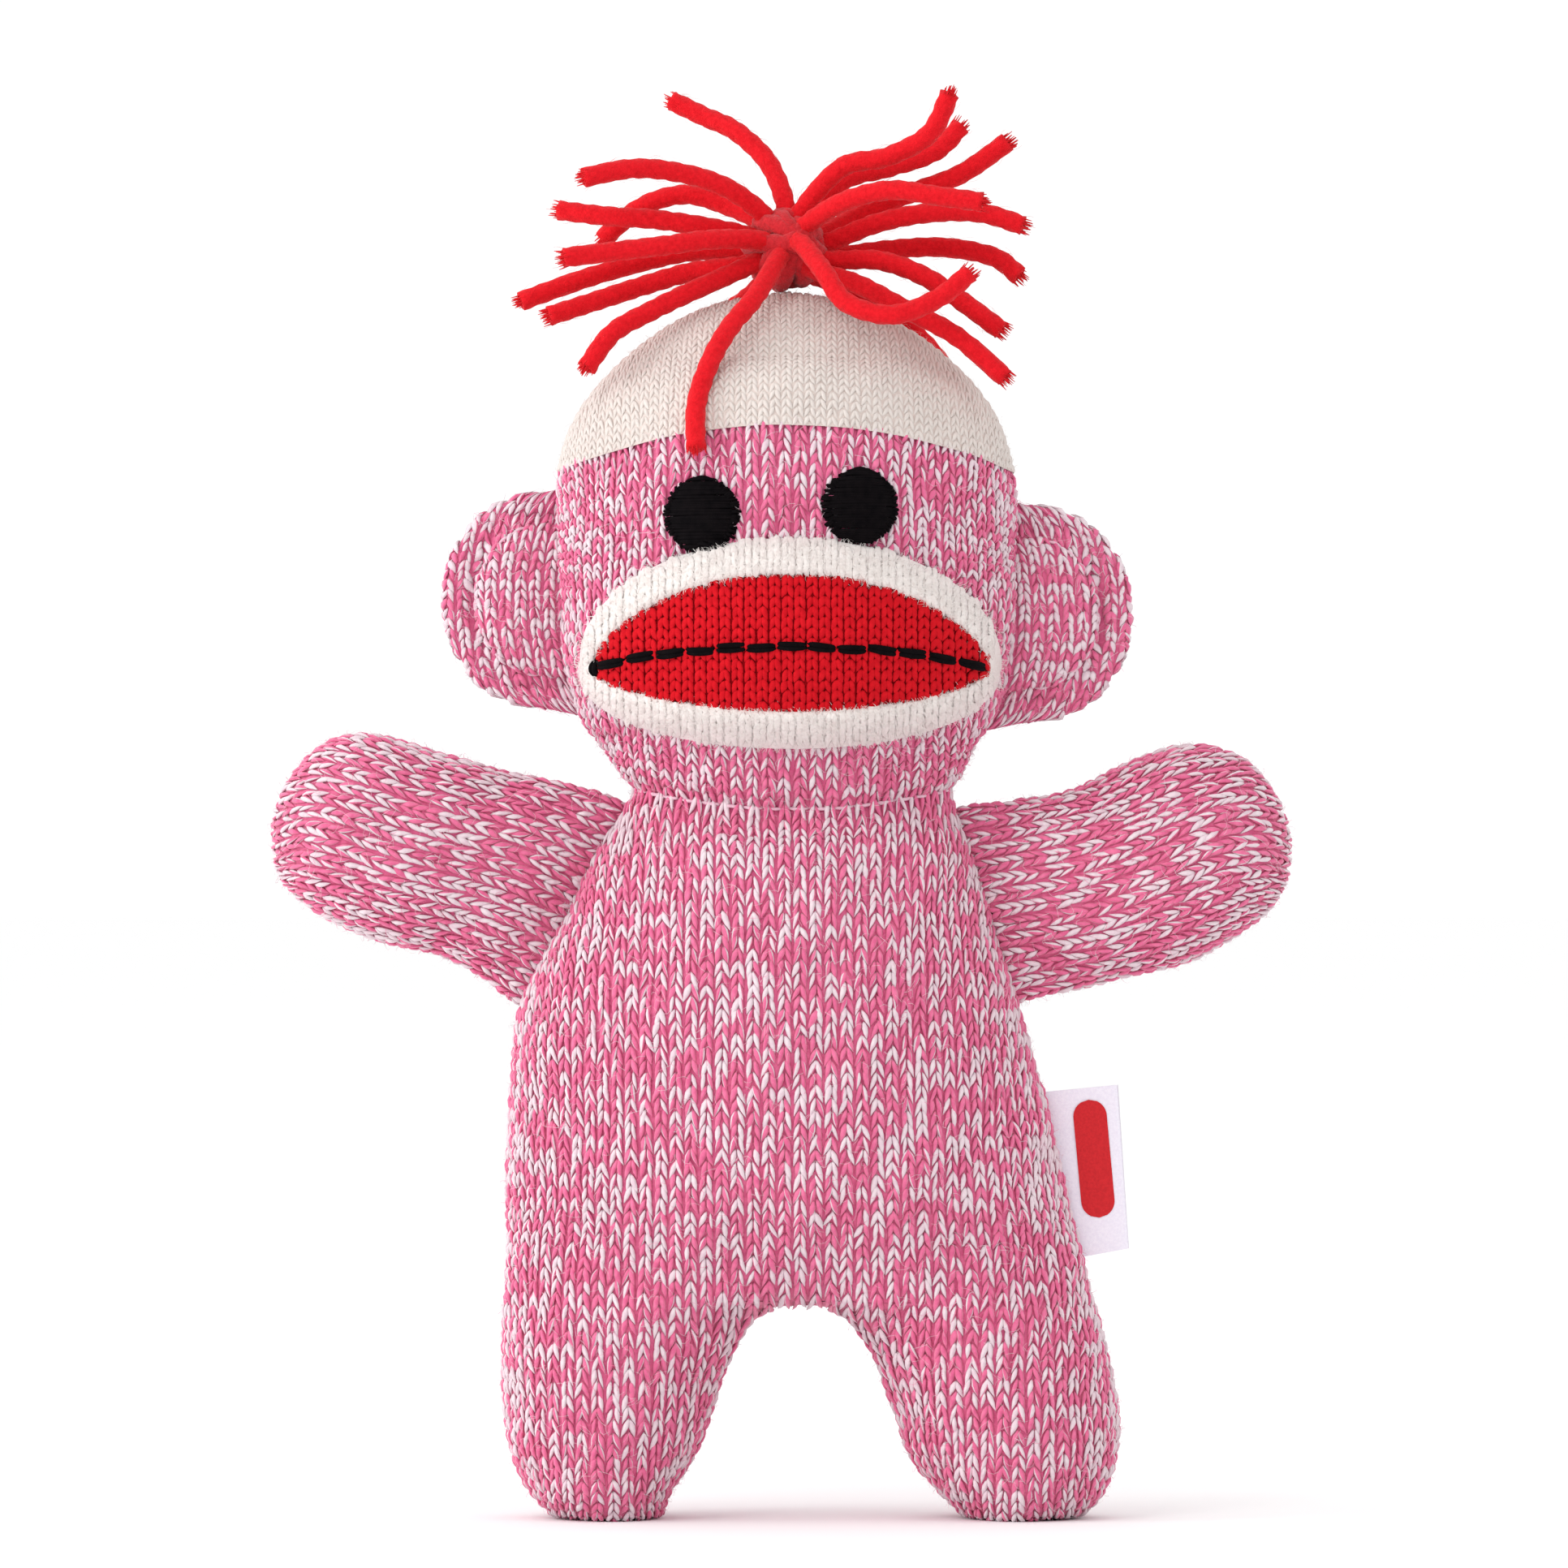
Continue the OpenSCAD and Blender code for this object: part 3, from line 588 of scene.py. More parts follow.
def marl_panel(name, surface, low, high, seed, hairs, look=MARL_LOOK, course=COURSE, cover=None, margin=0.5):
    """A panel of marled stockinette: backing, stitches and fuzz. cover says where stitches are left out."""
    rng = np.random.default_rng(seed)
    build = Build()
    surface.backing(build, low, high, BACKING_BELOW)
    s, v = surface.stitches(look["wale"], course, low, high, margin)
    if cover is not None:
        spot, _ = surface.place(s, v)
        hidden = cover(spot)
        s, v = s[~hidden], v[~hidden]
    knit(build, surface, s, v, rng, **look)
    fuzz(build, surface, hairs, low, high, rng, slots=(1, 2, 2))
    # Slot 0, the backing, takes the pink in painted shade.
    return build.make(name, [MARL_SHADE, PINK, WHITE])


def share_between(piece):
    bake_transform(piece)


def dress(piece, slot, *nodes, fill=None):
    """Hides the CAD nodes that a visible piece stands for. The piece, its material slot and how full it is
    padded are not used.
    """
    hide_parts(*nodes)


def on_head(piece, slot, *nodes, fill=None):
    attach(piece, "head")
    dress(piece, slot, *nodes, fill=fill)


TOP_OF_LEGS = 20        # height over which the wales of the legs and the body come to agree


def wide_measure(x, z):
    """Low on the belly the wales keep their spacing as seen from the front."""
    outside = np.clip((np.abs(x - 4.5) - 24) / 5, 0, 1)
    return np.maximum(outside, smooth_step((z - FORK_Z) / TOP_OF_LEGS))


def leg_measure(hand):
    """The same at the top of a leg, on its side toward the fork."""
    def weight(x, z):
        toward = np.clip((hand * (x - (-24.5 if hand < 0 else 33.5))) / 5 + 0.5, 0, 1)
        return np.maximum(toward, np.clip((FORK_Z - z) / TOP_OF_LEGS, 0, 1))
    return weight


def neck_crease(p):
    """The seam between the body and the head pulls the cloth in."""
    sag = NECK_Z - NECK_SAG * np.clip((np.abs(p[..., 1] - SEAM_Y)) / 16.6, 0, 1) ** 2
    return 0.9 * np.exp(-((p[..., 2] - sag) / 1.5) ** 2)


# ---------------------------------------------------------------- the body and legs

HEAD_JOIN, HEAD_FIRM = 121.0, 134     # the neck's cloth ends and the head's begins at the first of these; under the muzzle, stitches are left out above the second
SOLE_Z, SOLE_HALF, SOLE_DEPTH = 0.45, 8.25, 10.5
SOLE_SHARES = (0.06, 0.3, 0.5, 0.7, 0.86)
LEGS = (("left", -1, LEFT_LEG, -26.75), ("right", 1, RIGHT_LEG, 37.25))
ARMS = (("left", -1, LEFT_ARM, 7), ("right", 1, RIGHT_ARM, 8))

muzzle_mid, muzzle_half = middle("muzzle_panel"), half_size("muzzle_panel")


def under_muzzle(spot):
    u = (spot[..., 0] - muzzle_mid[0]) / muzzle_half[0]
    w = (spot[..., 2] - muzzle_mid[2] + 1) / muzzle_half[2]
    return (u * u + w * w < 0.72) & (spot[..., 1] < SEAM_Y) & (spot[..., 2] > HEAD_FIRM)


def body_surface(way, low, high, **more):
    rows = body_rows[(row_z >= low - 0.01) & (row_z <= high + 0.01)]
    return Surface(rows, way, anchor=MIDDLE_X, **more)


def leg_rows(hand, table, middle_x):
    """The sole's rows from its middle to its edge, then the leg's up to a little above the fork."""
    rows = [[middle_x - SOLE_HALF * share, SOLE_Z, middle_x + SOLE_HALF * share, SOLE_Z, SOLE_DEPTH * share]
            for share in SOLE_SHARES]
    for outer, z, inner, deep in weave(table, 6):
        inner = float(inner_side(z, hand)) if z > 0 else inner
        rows.append([min(outer, inner), max(z, SOLE_Z), max(outer, inner), max(z, SOLE_Z), deep])
    return [r for r in rows if r[1] <= FORK_Z + 2.5]


for word, way in PANELS:
    seed = 10 if way == FRONT else 20
    torso = body_surface(way, FORK_Z - 4.0, NECK_Z + 2, depth=torso_depth, measure=wide_measure,
                         zero_z=FORK_Z, course_turn=1 / 3, crease=neck_crease)
    skin = marl_panel(f"torso_{word}_skin", torso, 0, torso.v_at(NECK_Z), seed + 1, 1800)
    share_between(skin)
    dress(skin, "marl_knit", f"torso_{word}_panel", "torso_stuffing", fill=0.8)

    for side, hand, table, middle_x in LEGS:
        rows = leg_rows(hand, table, middle_x)
        leg = Surface(rows, way, anchor=middle_x, measure=leg_measure(hand), shift=middle_x - MIDDLE_X,
                      course_turn=0.5 + hand * 0.4)
        sole = len(SOLE_SHARES)
        leg.along -= np.interp(FORK_Z, [r[1] for r in rows[sole:]], leg.along[sole:])
        skin = marl_panel(f"{side}_leg_{word}_skin", leg, leg.along[0], 0, seed + 3 + hand, 500)
        share_between(skin)
        dress(skin, "marl_knit", f"{side}_leg_{word}_panel", f"{side}_leg_stuffing", fill=0.8)

    head = body_surface(way, NECK_Z, CAP_Z + 2, zero_z=NECK_Z, crease=neck_crease)
    join = head.v_at(HEAD_JOIN)
    skin = marl_panel(f"neck_{word}_skin", head, 0, join, seed + 5, 300, HEAD_LOOK, HEAD_COURSE)
    share_between(skin)
    dress(skin, "marl_knit", "neck_stuffing", fill=0.8)
    skin = marl_panel(f"head_{word}_skin", head, join, head.v_at(CAP_Z), seed + 6, 1100, HEAD_LOOK,
                      HEAD_COURSE, under_muzzle if way == FRONT else None)
    share_between(skin)
    dress(skin, "marl_knit", f"head_{word}_panel", "head_stuffing", fill=0.8)

    # Arms: the wales run along the arm, from the shoulder seam to the hand.
    for side, hand, table, step in ARMS:
        arm = Surface(weave(table, 8), way)
        top, bottom = np.array(table[1][:2]), np.array(table[1][2:4])
        out = np.array([-(top - bottom)[1], (top - bottom)[0]])
        out = out / np.linalg.norm(out) * -hand
        skin = marl_panel(f"{side}_arm_{word}_skin", arm, 0, arm.along[-1], seed + step, 600)
        share_between(skin)
        dress(skin, "marl_knit", f"{side}_arm_{word}_panel", f"{side}_arm_stuffing", fill=0.7)


# ---------------------------------------------------------------- ears

EAR_RIM, EAR_PAD, EAR_SKIN = 4.4, 4.6, 1.15
EAR_ROOT = 2.2      # how far an ear goes into the head's side seam
EAR_FAN = 0.38      # how much the wales bend with the ear's edge: 0 is straight up, 1 is all the way
EAR_ARC = 78        # degrees from the middle of an ear to the end of its edge and of its topstitching
EAR_COLUMNS = 48


class EarSurface(Surface):
    """Half of an ear: s runs from its root to its edge, and v up it."""

    def __init__(self, node, hand, way):
        low, high = (np.array(c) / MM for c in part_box(node))
        self.half = (high[2] - low[2]) / 2 / math.sin(math.radians(EAR_ARC)) - 0.2
        self.reach = high[0] - low[0] - 0.5
        self.root, self.level = (high[0] if hand < 0 else low[0]), (high[2] + low[2]) / 2
        grid, inner, left, span = [], [], [], []
        rises = np.sin(np.radians(np.linspace(-88, 88, 60)))
        for rise in rises:
            out = self.reach * math.sqrt(1 - rise * rise)
            edge = at_height(self.level + self.half * rise, 0 if hand < 0 else 2)
            root = (self.root - edge) * hand + EAR_ROOT * (0.3 + 0.7 * math.sqrt(1 - rise * rise))
            at = np.linspace(-root, out, EAR_COLUMNS + 1)
            pad = np.maximum(out - EAR_RIM, 0.1)
            top = pad * 0.35
            dome = np.sqrt(np.clip(1 - ((at - top) / np.where(at > top, pad * 0.65, pad + 2)) ** 2, 0, 1))
            dome = dome * math.sqrt(1 - min(1, abs(rise) / (1 - EAR_RIM / self.half * 0.8)) ** 2.4)
            round_off = np.sqrt(1 - np.clip((at - out + 1.0) / 1.0, 0, 1) ** 2)
            fat = EAR_SKIN * (0.04 + 0.96 * round_off) * np.clip(0.5 + (1 - abs(rise)) * 6, 0, 1)
            fat = fat + (EAR_PAD - EAR_SKIN) * dome
            grid.append(np.stack([self.root + hand * at, SEAM_Y + way * fat,
                                  self.level + self.half * rise * (1 + 0.012 * np.maximum(-at, 0))], -1))
            inner.append(-root)
            left.append(-root + EAR_FAN * (self.reach - out))
            span.append(out + root)
        self.grid = np.array(grid)
        self.inner, self.left, self.span = np.array(inner), np.array(left), np.array(span)
        self.way, self.columns = way, EAR_COLUMNS
        self.along = self.half * rises
        self.finish(0.1, 0, self.stitch_line, 0.0)

    def stitch_line(self, p):
        """A groove where the rim is sewn through."""
        across = np.linspace(0, 1, self.columns + 1)[None] * self.span[:, None] + self.inner[:, None]
        size = np.sqrt((np.maximum(across, 0) / (self.reach - EAR_RIM)) ** 2
                       + (self.along[:, None] / (self.half - EAR_RIM)) ** 2)
        return 0.9 * np.exp(-((size - 1) * 12) ** 2)


def fold_with_ear(piece):
    share_between(piece)


ears = {}
for side, hand in HANDS:
    for word, way in PANELS:
        ear = ears[side, word] = EarSurface(f"{side}_ear_{word}_panel", hand, way)
        skin = marl_panel(f"{side}_ear_{word}_skin", ear, ear.along[0], ear.along[-1], 40 + hand * 2 + way,
                          250, EAR_LOOK, EAR_COURSE, margin=-0.7)
        fold_with_ear(skin)
        dress(skin, "marl_knit", f"{side}_ear_{word}_panel", f"{side}_ear_padding", fill=0.5)


# ---------------------------------------------------------------- the cap

CAP_LOOK = dict(wale=1.75, length=2.1, width=0.78, thick=0.5, tilt=24, rise=0.12, share=(0, 0), slots=(1, 1),
                wobble=0.7, point=0.6)
CAP_COURSE = 1.38

rng = np.random.default_rng(60)
build = Build()
for word, way in PANELS:
    cap = body_surface(way, CAP_Z, 200, proud=0.55, lumps=0.15, groove=0.3)
    top = cap.along[-1]
    # The cap's backing takes the cream in painted shade.
    cap.backing(build, 0, top, 0.06)
    s, v = cap.stitches(CAP_LOOK["wale"], CAP_COURSE, 0, top - 0.6)
    knit(build, cap, s, v, rng, **CAP_LOOK)
    fuzz(build, cap, 700, 0, top - 1, rng, slots=(1,), reach=1.8, stand=0.7)
on_head(build.make("knit_cap_skin", [CREAM_SHADE, CREAM]), "cream_knit", "knit_cap", fill=0.8)


# ---------------------------------------------------------------- the face

CORNER_Z = 131.5    # height of the corners of the mouth
# How far each shape goes to the side, up and down from the mouth, and how blunt its corners are.
MUZZLE = dict(half=33.0, rise=20.2, drop=12.4, point=0.46)
LIPS = dict(half=30.6, rise=14.4, drop=6.3, point=0.62)
ROLL, ROLL_HIGH, DOME_HIGH = 5.6, 6.4, 2.2
face_x = muzzle_mid[0] - 0.2


def face_depth(x, z):
    """y of the head's front surface."""
    a, b, deep = at_height(z, 0), at_height(z, 2), at_height(z, 4)
    share = (2 * x - a - b) / (b - a)
    return SEAM_Y - deep * np.sqrt(np.maximum(0.02, 1 - share ** 2))


def outline(half, rise, drop, point, count=240):
    """The corners of a closed shape on the face: an arch above the corners of the mouth and one below."""
    turn = np.arange(count) * 2 * np.pi / count
    x = half * np.cos(turn)
    high = (1 - np.cos(turn) ** 2) ** point
    return np.stack([face_x + x, CORNER_Z + np.where(np.sin(turn) > 0, rise * high, -drop * high)], -1)


class Inside:
    """How far inside a closed shape on the face a place is, negative outside it, looked up on a fine grid."""

    STEP = 0.25

    def __init__(self, half, rise, drop, point):
        self.line = line = outline(half, rise, drop, point)
        self.low = np.array([face_x - 46, CORNER_Z - 28])
        xs = np.arange(self.low[0], face_x + 46, self.STEP)
        zs = np.arange(self.low[1], CORNER_Z + 40, self.STEP)
        x, z = np.meshgrid(xs, zs, indexing="ij")
        flat = np.stack([x.ravel(), z.ravel()], -1)
        best = np.full(len(flat), 1e9)
        for start, end in zip(line, np.roll(line, -1, axis=0)):
            way = end - start
            t = np.clip(((flat - start) @ way) / max(way @ way, 1e-9), 0, 1)
            best = np.minimum(best, ((flat - start - t[:, None] * way) ** 2).sum(1))
        share = np.clip(np.abs(x - face_x) / half, 0, 1)
        limit = (1 - share ** 2) ** point
        up = z - CORNER_Z
        inside = (np.abs(x - face_x) < half) & (up < rise * limit) & (up > -drop * limit)
        self.table = np.sqrt(best).reshape(x.shape) * np.where(inside, 1, -1)

    def __call__(self, x, z):
        at = [(np.asarray(a, float) - low) / self.STEP for a, low in zip((x, z), self.low)]
        cell = [np.clip(a.astype(int), 0, size - 2) for a, size in zip(at, self.table.shape)]
        f, g = (np.clip(a - c, 0, 1) for a, c in zip(at, cell))
        (i, k), t = cell, self.table
        return ((t[i, k] * (1 - f) + t[i + 1, k] * f) * (1 - g)
                + (t[i, k + 1] * (1 - f) + t[i + 1, k + 1] * f) * g)


in_muzzle, in_lips = Inside(**MUZZLE), Inside(**LIPS)


def muzzle_height(x, z):
    """How far the stuffed muzzle stands off the face: a round roll at its edge and a low dome inside."""
    edge = np.clip(in_muzzle(x, z) / ROLL, 0, 1)
    across = ((x - face_x) / MUZZLE["half"]) ** 2 + ((z - CORNER_Z - 4) / 17) ** 2
    return ROLL_HIGH * np.sqrt(1 - (1 - edge) ** 2) + DOME_HIGH * np.clip(1 - across, 0, 1)


def muzzle_shape(x, z):
    """The brushed cream cloth, which rolls down to the lips along their edge."""
    beyond = np.clip(1 + in_lips(x, z) / 1.5, 0, 1)
    dip = 1.7 * (1 - np.sqrt(1 - beyond ** 2))
    return np.stack([x, face_depth(x, z) + 0.3 - muzzle_height(x, z) + dip, z], -1)


def lip_shape(x, z):
    """The lips' red cloth, a little below the cream roll round it."""
    sunk = 1.15 - 0.5 * np.clip(in_lips(x, z) / 7, 0, 1)
    return np.stack([x, face_depth(x, z) + 0.3 - muzzle_height(x, z) + sunk, z], -1)


class Patch:
    """A patch on the face, measured in millimetres across and up as seen from the front."""

    def __init__(self, shape):
        self.shape = shape

    def place(self, s, v):
        d = 0.2
        over = self.shape(s + d, v) - self.shape(s - d, v)
        up = self.shape(s, v + d) - self.shape(s, v - d)
        return self.shape(s, v), unit(np.cross(over, up), 1e-9)


def band(build, patch, inner, outer, steps, below):
    """A closed band of cloth from one ring of places to another."""
    share = np.linspace(0, 1, steps)[:, None, None]
    ring = inner[None] * (1 - share) + outer[None] * share
    spot, normal = patch.place(ring[..., 0], ring[..., 1])
    build.add(spot - normal * below, net(steps, len(inner), True))


def lattice(low_x, high_x, low_z, high_z, wale, course):
    i = np.arange(math.floor(low_x / wale), math.ceil(high_x / wale) + 1)
    j = np.arange(math.floor(low_z / course), math.ceil(high_z / course) + 1)
    s, v = np.meshgrid((i + 0.5) * wale, (j + 0.5) * course)
    return s.ravel(), v.ravel()


FACE_SPAN = (face_x - 34, face_x + 34, CORNER_Z - 14, CORNER_Z + 22)
MUZZLE_LOOK = dict(wale=2.2, length=2.7, width=1.2, thick=0.4, rise=0.06, sink=-0.1, tilt=11, share=(0, 0),
                   slots=(0, 0), wobble=0.8, point=0.6)
LIP_LOOK = dict(wale=1.9, length=2.35, width=1.06, thick=0.5, rise=0.12, sink=-0.06, tilt=16, share=(0, 0),
                slots=(1, 1), wobble=0.6, point=0.7)
MUZZLE_COURSE, LIP_COURSE = 1.5, 1.6
face_middle = np.array([face_x, CORNER_Z + 3.5])


def scaled(line, share):
    """The same outline, larger or smaller about the middle of the face's patch."""
    return face_middle + (line - face_middle) * share


# The muzzle: fine brushed stockinette, its wales upright.
rng = np.random.default_rng(70)
build = Build()
muzzle = Patch(muzzle_shape)
band(build, muzzle, scaled(in_lips.line, 0.96), scaled(in_muzzle.line, 0.998), 26, 0.15)
s, v = lattice(*FACE_SPAN, MUZZLE_LOOK["wale"], MUZZLE_COURSE)
keep = (in_muzzle(s, v) > 0.35) & (in_lips(s, v) < -0.2)
knit(build, muzzle, s[keep], v[keep], rng, **MUZZLE_LOOK)
s, v = rng.uniform(*FACE_SPAN[:2], 16000), rng.uniform(*FACE_SPAN[2:], 16000)
keep = (in_muzzle(s, v) > 0.2) & (in_lips(s, v) < 0.1)
hairs_at(build, muzzle, s[keep], v[keep], rng, (0,), 1.5, 0.55, wide=0.07, start=0.2)
on_head(build.make("muzzle_skin", [FELT]), "cream_knit", "muzzle_panel", "muzzle_stuffing", fill=0.9)

# The lips: a lens of fine red stockinette let into the muzzle.
rng = np.random.default_rng(80)
build = Build()
lips = Patch(lip_shape)
lip_ring = scaled(in_lips.line, 1.03)
# The band under the lip stitches takes the red in painted shade.
band(build, lips, scaled(lip_ring, 0.01), lip_ring, 40, 0.28)
s, v = lattice(*FACE_SPAN, LIP_LOOK["wale"], LIP_COURSE)
keep = in_lips(s, v) > -0.5
knit(build, lips, s[keep], v[keep], rng, **LIP_LOOK)
on_head(build.make("lip_skin", [RED_SHADE, RED]), "red_knit", "lip_patch")


# The mouth: a row of black back-stitches along the lips, with an upright one at the left corner.
def thread_stitch(build, patch, start, end, radius, lift, steps=9, around=8):
    t = np.linspace(0, 1, steps)
    s = start[0] + (end[0] - start[0]) * t
    v = start[1] + (end[1] - start[1]) * t
    spot, normal = patch.place(s, v)
    arc = np.sin(np.pi * t) ** 0.5
    path = spot + normal * (lift * arc - 0.4 * (1 - arc))[:, None]
    tube(build, path, radius, around, taper=0.5 + 0.5 * np.sin(np.pi * np.clip(t, 0.06, 0.94)) ** 0.5)


MOUTH_ARCH, MOUTH_STITCHES = 3.4, 13
MOUTH_THREAD, MOUTH_LIFT = 0.44, 0.5
build = Build()
rng = np.random.default_rng(90)
ends = np.linspace(-0.975, 0.985, MOUTH_STITCHES + 1)
for a, b in zip(ends[:-1], ends[1:]):
    (xa, za), (xb, zb) = [(face_x + LIPS["half"] * q,
                           CORNER_Z + 0.1 + MOUTH_ARCH * (1 - q * q) ** 0.9 + rng.normal(0, 0.12))
                          for q in (a, b)]
    for offset in (-0.3, 0.3):
        thread_stitch(build, lips, (xa - 0.02, za + offset + rng.normal(0, 0.06)),
                      (xb + 0.02, zb + offset + rng.normal(0, 0.06)), MOUTH_THREAD, MOUTH_LIFT)
corner = face_x - LIPS["half"] * 0.985
for offset in (0, 0.5):
    thread_stitch(build, lips, (corner + offset, CORNER_Z - 0.9), (corner + offset, CORNER_Z + 1.3), 0.5,
                  MOUTH_LIFT)
on_head(build.make("mouth_thread", [BLACK]), "black_thread", "mouth_stitching")


# The eyes: satin stitch, level threads side by side with a ring of short spikes around them.
def face_patch(centre, proud):
    def shape(s, v):
        x, z = centre[0] + s, centre[1] + v
        y = face_depth(x, z) - proud
        over = np.minimum(y, muzzle_shape(x, z)[..., 1])
        return np.stack([x, np.where(in_muzzle(x, z) > 0, over, y), z], -1)
    return Patch(shape)


EYE_PROUD, EYE_ROW, EYE_SPIKES = 0.7, 0.34, 52

for side, nudge, seed in (("left", (0.35, -0.6), 101), ("right", (-0.4, -0.7), 102)):
    rng = np.random.default_rng(seed)
    node = middle(f"{side}_eye")
    radius = half_size(f"{side}_eye")[0] - 0.1
    patch = face_patch((node[0] + nudge[0], node[2] + nudge[1]), EYE_PROUD)
    build = Build()
    for row in np.arange(-radius + 0.3, radius, EYE_ROW):
        reach = math.sqrt(radius ** 2 - row ** 2)
        dome = 0.8 + 0.5 * math.sqrt(max(0, 1 - (row / radius) ** 2))
        a, b = reach * (1 + rng.normal(0, 0.02)), reach * (1 + rng.normal(0, 0.02))
        thread_stitch(build, patch, (-a, row + rng.normal(0, 0.12)), (b, row + rng.normal(0, 0.12)),
                      0.32 + rng.uniform(0, 0.06), dome, steps=13, around=6)
    for angle in np.arange(0, 2 * np.pi, 2 * np.pi / EYE_SPIKES):
        angle += rng.normal(0, 0.04)
        way = np.array([math.cos(angle), math.sin(angle)])
        thread_stitch(build, patch, way * (radius - 1.4), way * (radius + rng.uniform(0.0, 0.4)),
                      0.3, 0.6, steps=6, around=5)
    on_head(build.make(f"{side}_eye_thread", [BLACK]), "black_thread", f"{side}_eye")


# ---------------------------------------------------------------- the yarn tuft

# The middle of each strand, from where it leaves the knot to its free end.
ROUTES = [
    [[0.6, 5, 204.5], [-2, 8, 210.5], [-7, 11, 215.5], [-12, 14, 218], [-17, 16, 220.5]],
    [[3.6, 3, 203.5], [9.5, 1, 209.5], [16.5, -1, 211], [23, -3, 214.5], [26, -5, 220.5]],
    [[4, 7.5, 203.2], [10, 10, 208], [17, 12, 210], [24, 13, 212.5], [28, 14, 216.5]],
    [[6, 11, 199], [12, 15, 202.5], [20, 15, 206], [28, 14, 209], [35.3, 13, 214]],
    [[5, -0.5, 201.6], [10, -5, 204], [17, -8, 205.5], [24, -10, 204.5], [31, -11, 203.5]],
    [[8, 5.5, 198.2], [15, 5, 201], [23, 4, 202.5], [31, 4, 202.5], [37.5, 3, 200.5]],
    [[7.5, 8.6, 195.6], [16, 11, 197], [25, 12, 197.5], [33, 11, 196], [37, 10, 193]],
    [[7.5, 2.5, 195], [15, 0, 195], [22, -2, 192.5], [28, -3, 188.5], [34, -4, 184]],
    [[5.8, -0.4, 193], [12, -5, 191], [18.5, -7, 187.5], [27, -8, 183], [34.5, -9, 176.5]],
    [[5, 10.2, 193], [12, 15, 190.5], [19, 17, 186], [25, 18, 179.5], [28, 19, 172.5]],
    [[3, -1.8, 197.6], [6.5, -9, 193], [10, -13, 188], [17, -15, 186], [24, -14, 188.5], [29, -13, 192.5]],
    [[-0.5, -1.9, 195], [-4, -9, 189], [-8, -13, 184], [-11, -16.5, 178.5], [-13, -19.4, 172],
     [-13, -22.6, 165.3]],
    [[-5.4, 1, 194], [-14, -3, 190], [-20, -5, 187], [-26, -7, 183.5], [-30, -9, 178]],
    [[-6.4, 6.5, 194.4], [-14, 8, 193.5], [-21, 8, 191.5], [-28.5, 6, 189], [-36, 4, 186.5]],
    [[-5, 10, 197], [-13, 13, 197], [-21, 14, 195.5], [-31, 12, 192.5], [-40.5, 10, 189]],
    [[-6.2, 3.8, 199.2], [-13, 2.5, 200.5], [-20, 3, 201.5], [-27, 4, 202], [-34.5, 6, 203]],
    [[-4.2, -0.6, 198.2], [-11, -4.5, 198], [-18, -6.5, 197], [-26, -8, 196], [-33.5, -10, 195]],
    [[-3.2, 3, 202.6], [-9, 0, 206.5], [-16, -2, 208.5], [-23, -4, 209], [-30.5, -6, 207.5]],
    [[-2.2, 10.6, 201], [-8, 16, 204], [-15, 18, 206], [-22, 19, 204], [-28, 20, 199]],
    [[-0.4, 11.8, 195.4], [-4, 19, 191], [-9, 24, 187], [-12, 27, 181], [-14, 28.5, 174]],
]
YARN_RADIUS = 1.6
FOUR_PLY = dict(twist=2 * np.pi / 11, plies=4, ply_depth=0.16)
TUCK = 4.0          # length of a strand inside the knot
knot_mid = middle("yarn_knot")
knot_edge = half_size("yarn_knot")[0] + 0.1


def strand_path(route):
    """A strand's middle line, from inside the knot to its free end."""
    points = np.array(route, float)
    way = points[0] - knot_mid
    inside, first = (knot_mid + way / np.linalg.norm(way) * out for out in (knot_edge - TUCK, knot_edge))
    return weave(np.vstack([inside, first, points[1:]]), 7)


def across_from(axis, other):
    """Two directions at right angles to an axis and to each other."""
    side = np.cross(axis, other)
    side /= np.linalg.norm(side)
    return side, np.cross(axis, side)


def end_fibres(build, tip, way, rng):
    """The cut end of a strand, a small brush of loose fibres."""
    side, other = across_from(way, [0, 1, 0.1])
    for _ in range(26):
        angle, out = rng.uniform(0, 2 * np.pi), rng.uniform(0.1, 1.35)
        offset = side * math.cos(angle) + other * math.sin(angle)
        start = tip - way * 0.8 + offset * out
        end = tip + way * rng.uniform(0.4, 1.5) + offset * out * rng.uniform(1.0, 1.4)
        tube(build, np.linspace(start, end, 3), 0.13, 4, taper=np.array([1, 0.9, 0.35]))


def strand_fuzz(build, path, rng, count):
    """Short hairs that stand off a strand."""
    at = rng.integers(1, len(path) - 1, count)
    way = unit(path[at + 1] - path[at - 1])
    off = rng.normal(0, 1, (count, 3))
    off -= way * (off * way).sum(1)[:, None]
    off = unit(off)[:, None]
    t = np.linspace(0, 1, 4)[None, :, None]
    long = rng.uniform(1.0, 2.6, count)[:, None, None]
    lean = rng.choice([-1, 1], count)[:, None, None] * way[:, None] * long
    line = path[at][:, None] + off * (YARN_RADIUS * 0.9 + 0.75 * np.sin(t * 1.9)) + lean * t
    side = unit(np.cross(np.gradient(line, axis=1), off), 1e-9)
    ribbons(build, line, side, 0.035 * (1 - 0.6 * t), 0)


for number, route in enumerate(ROUTES, 1):
    rng = np.random.default_rng(200 + number)
    path = strand_path(route)
    build = Build()
    tube(build, path, YARN_RADIUS, 24, **FOUR_PLY)
    way = path[-1] - path[-2]
    end_fibres(build, path[-1], way / np.linalg.norm(way), rng)
    strand_fuzz(build, path, rng, 70)
    strand = build.make(f"yarn_{number}", [YARN])
    on_head(strand, "red_yarn", f"yarn_strand_{number}")
    length = float(np.linalg.norm(np.diff(path, axis=0), axis=1).sum()) * MM

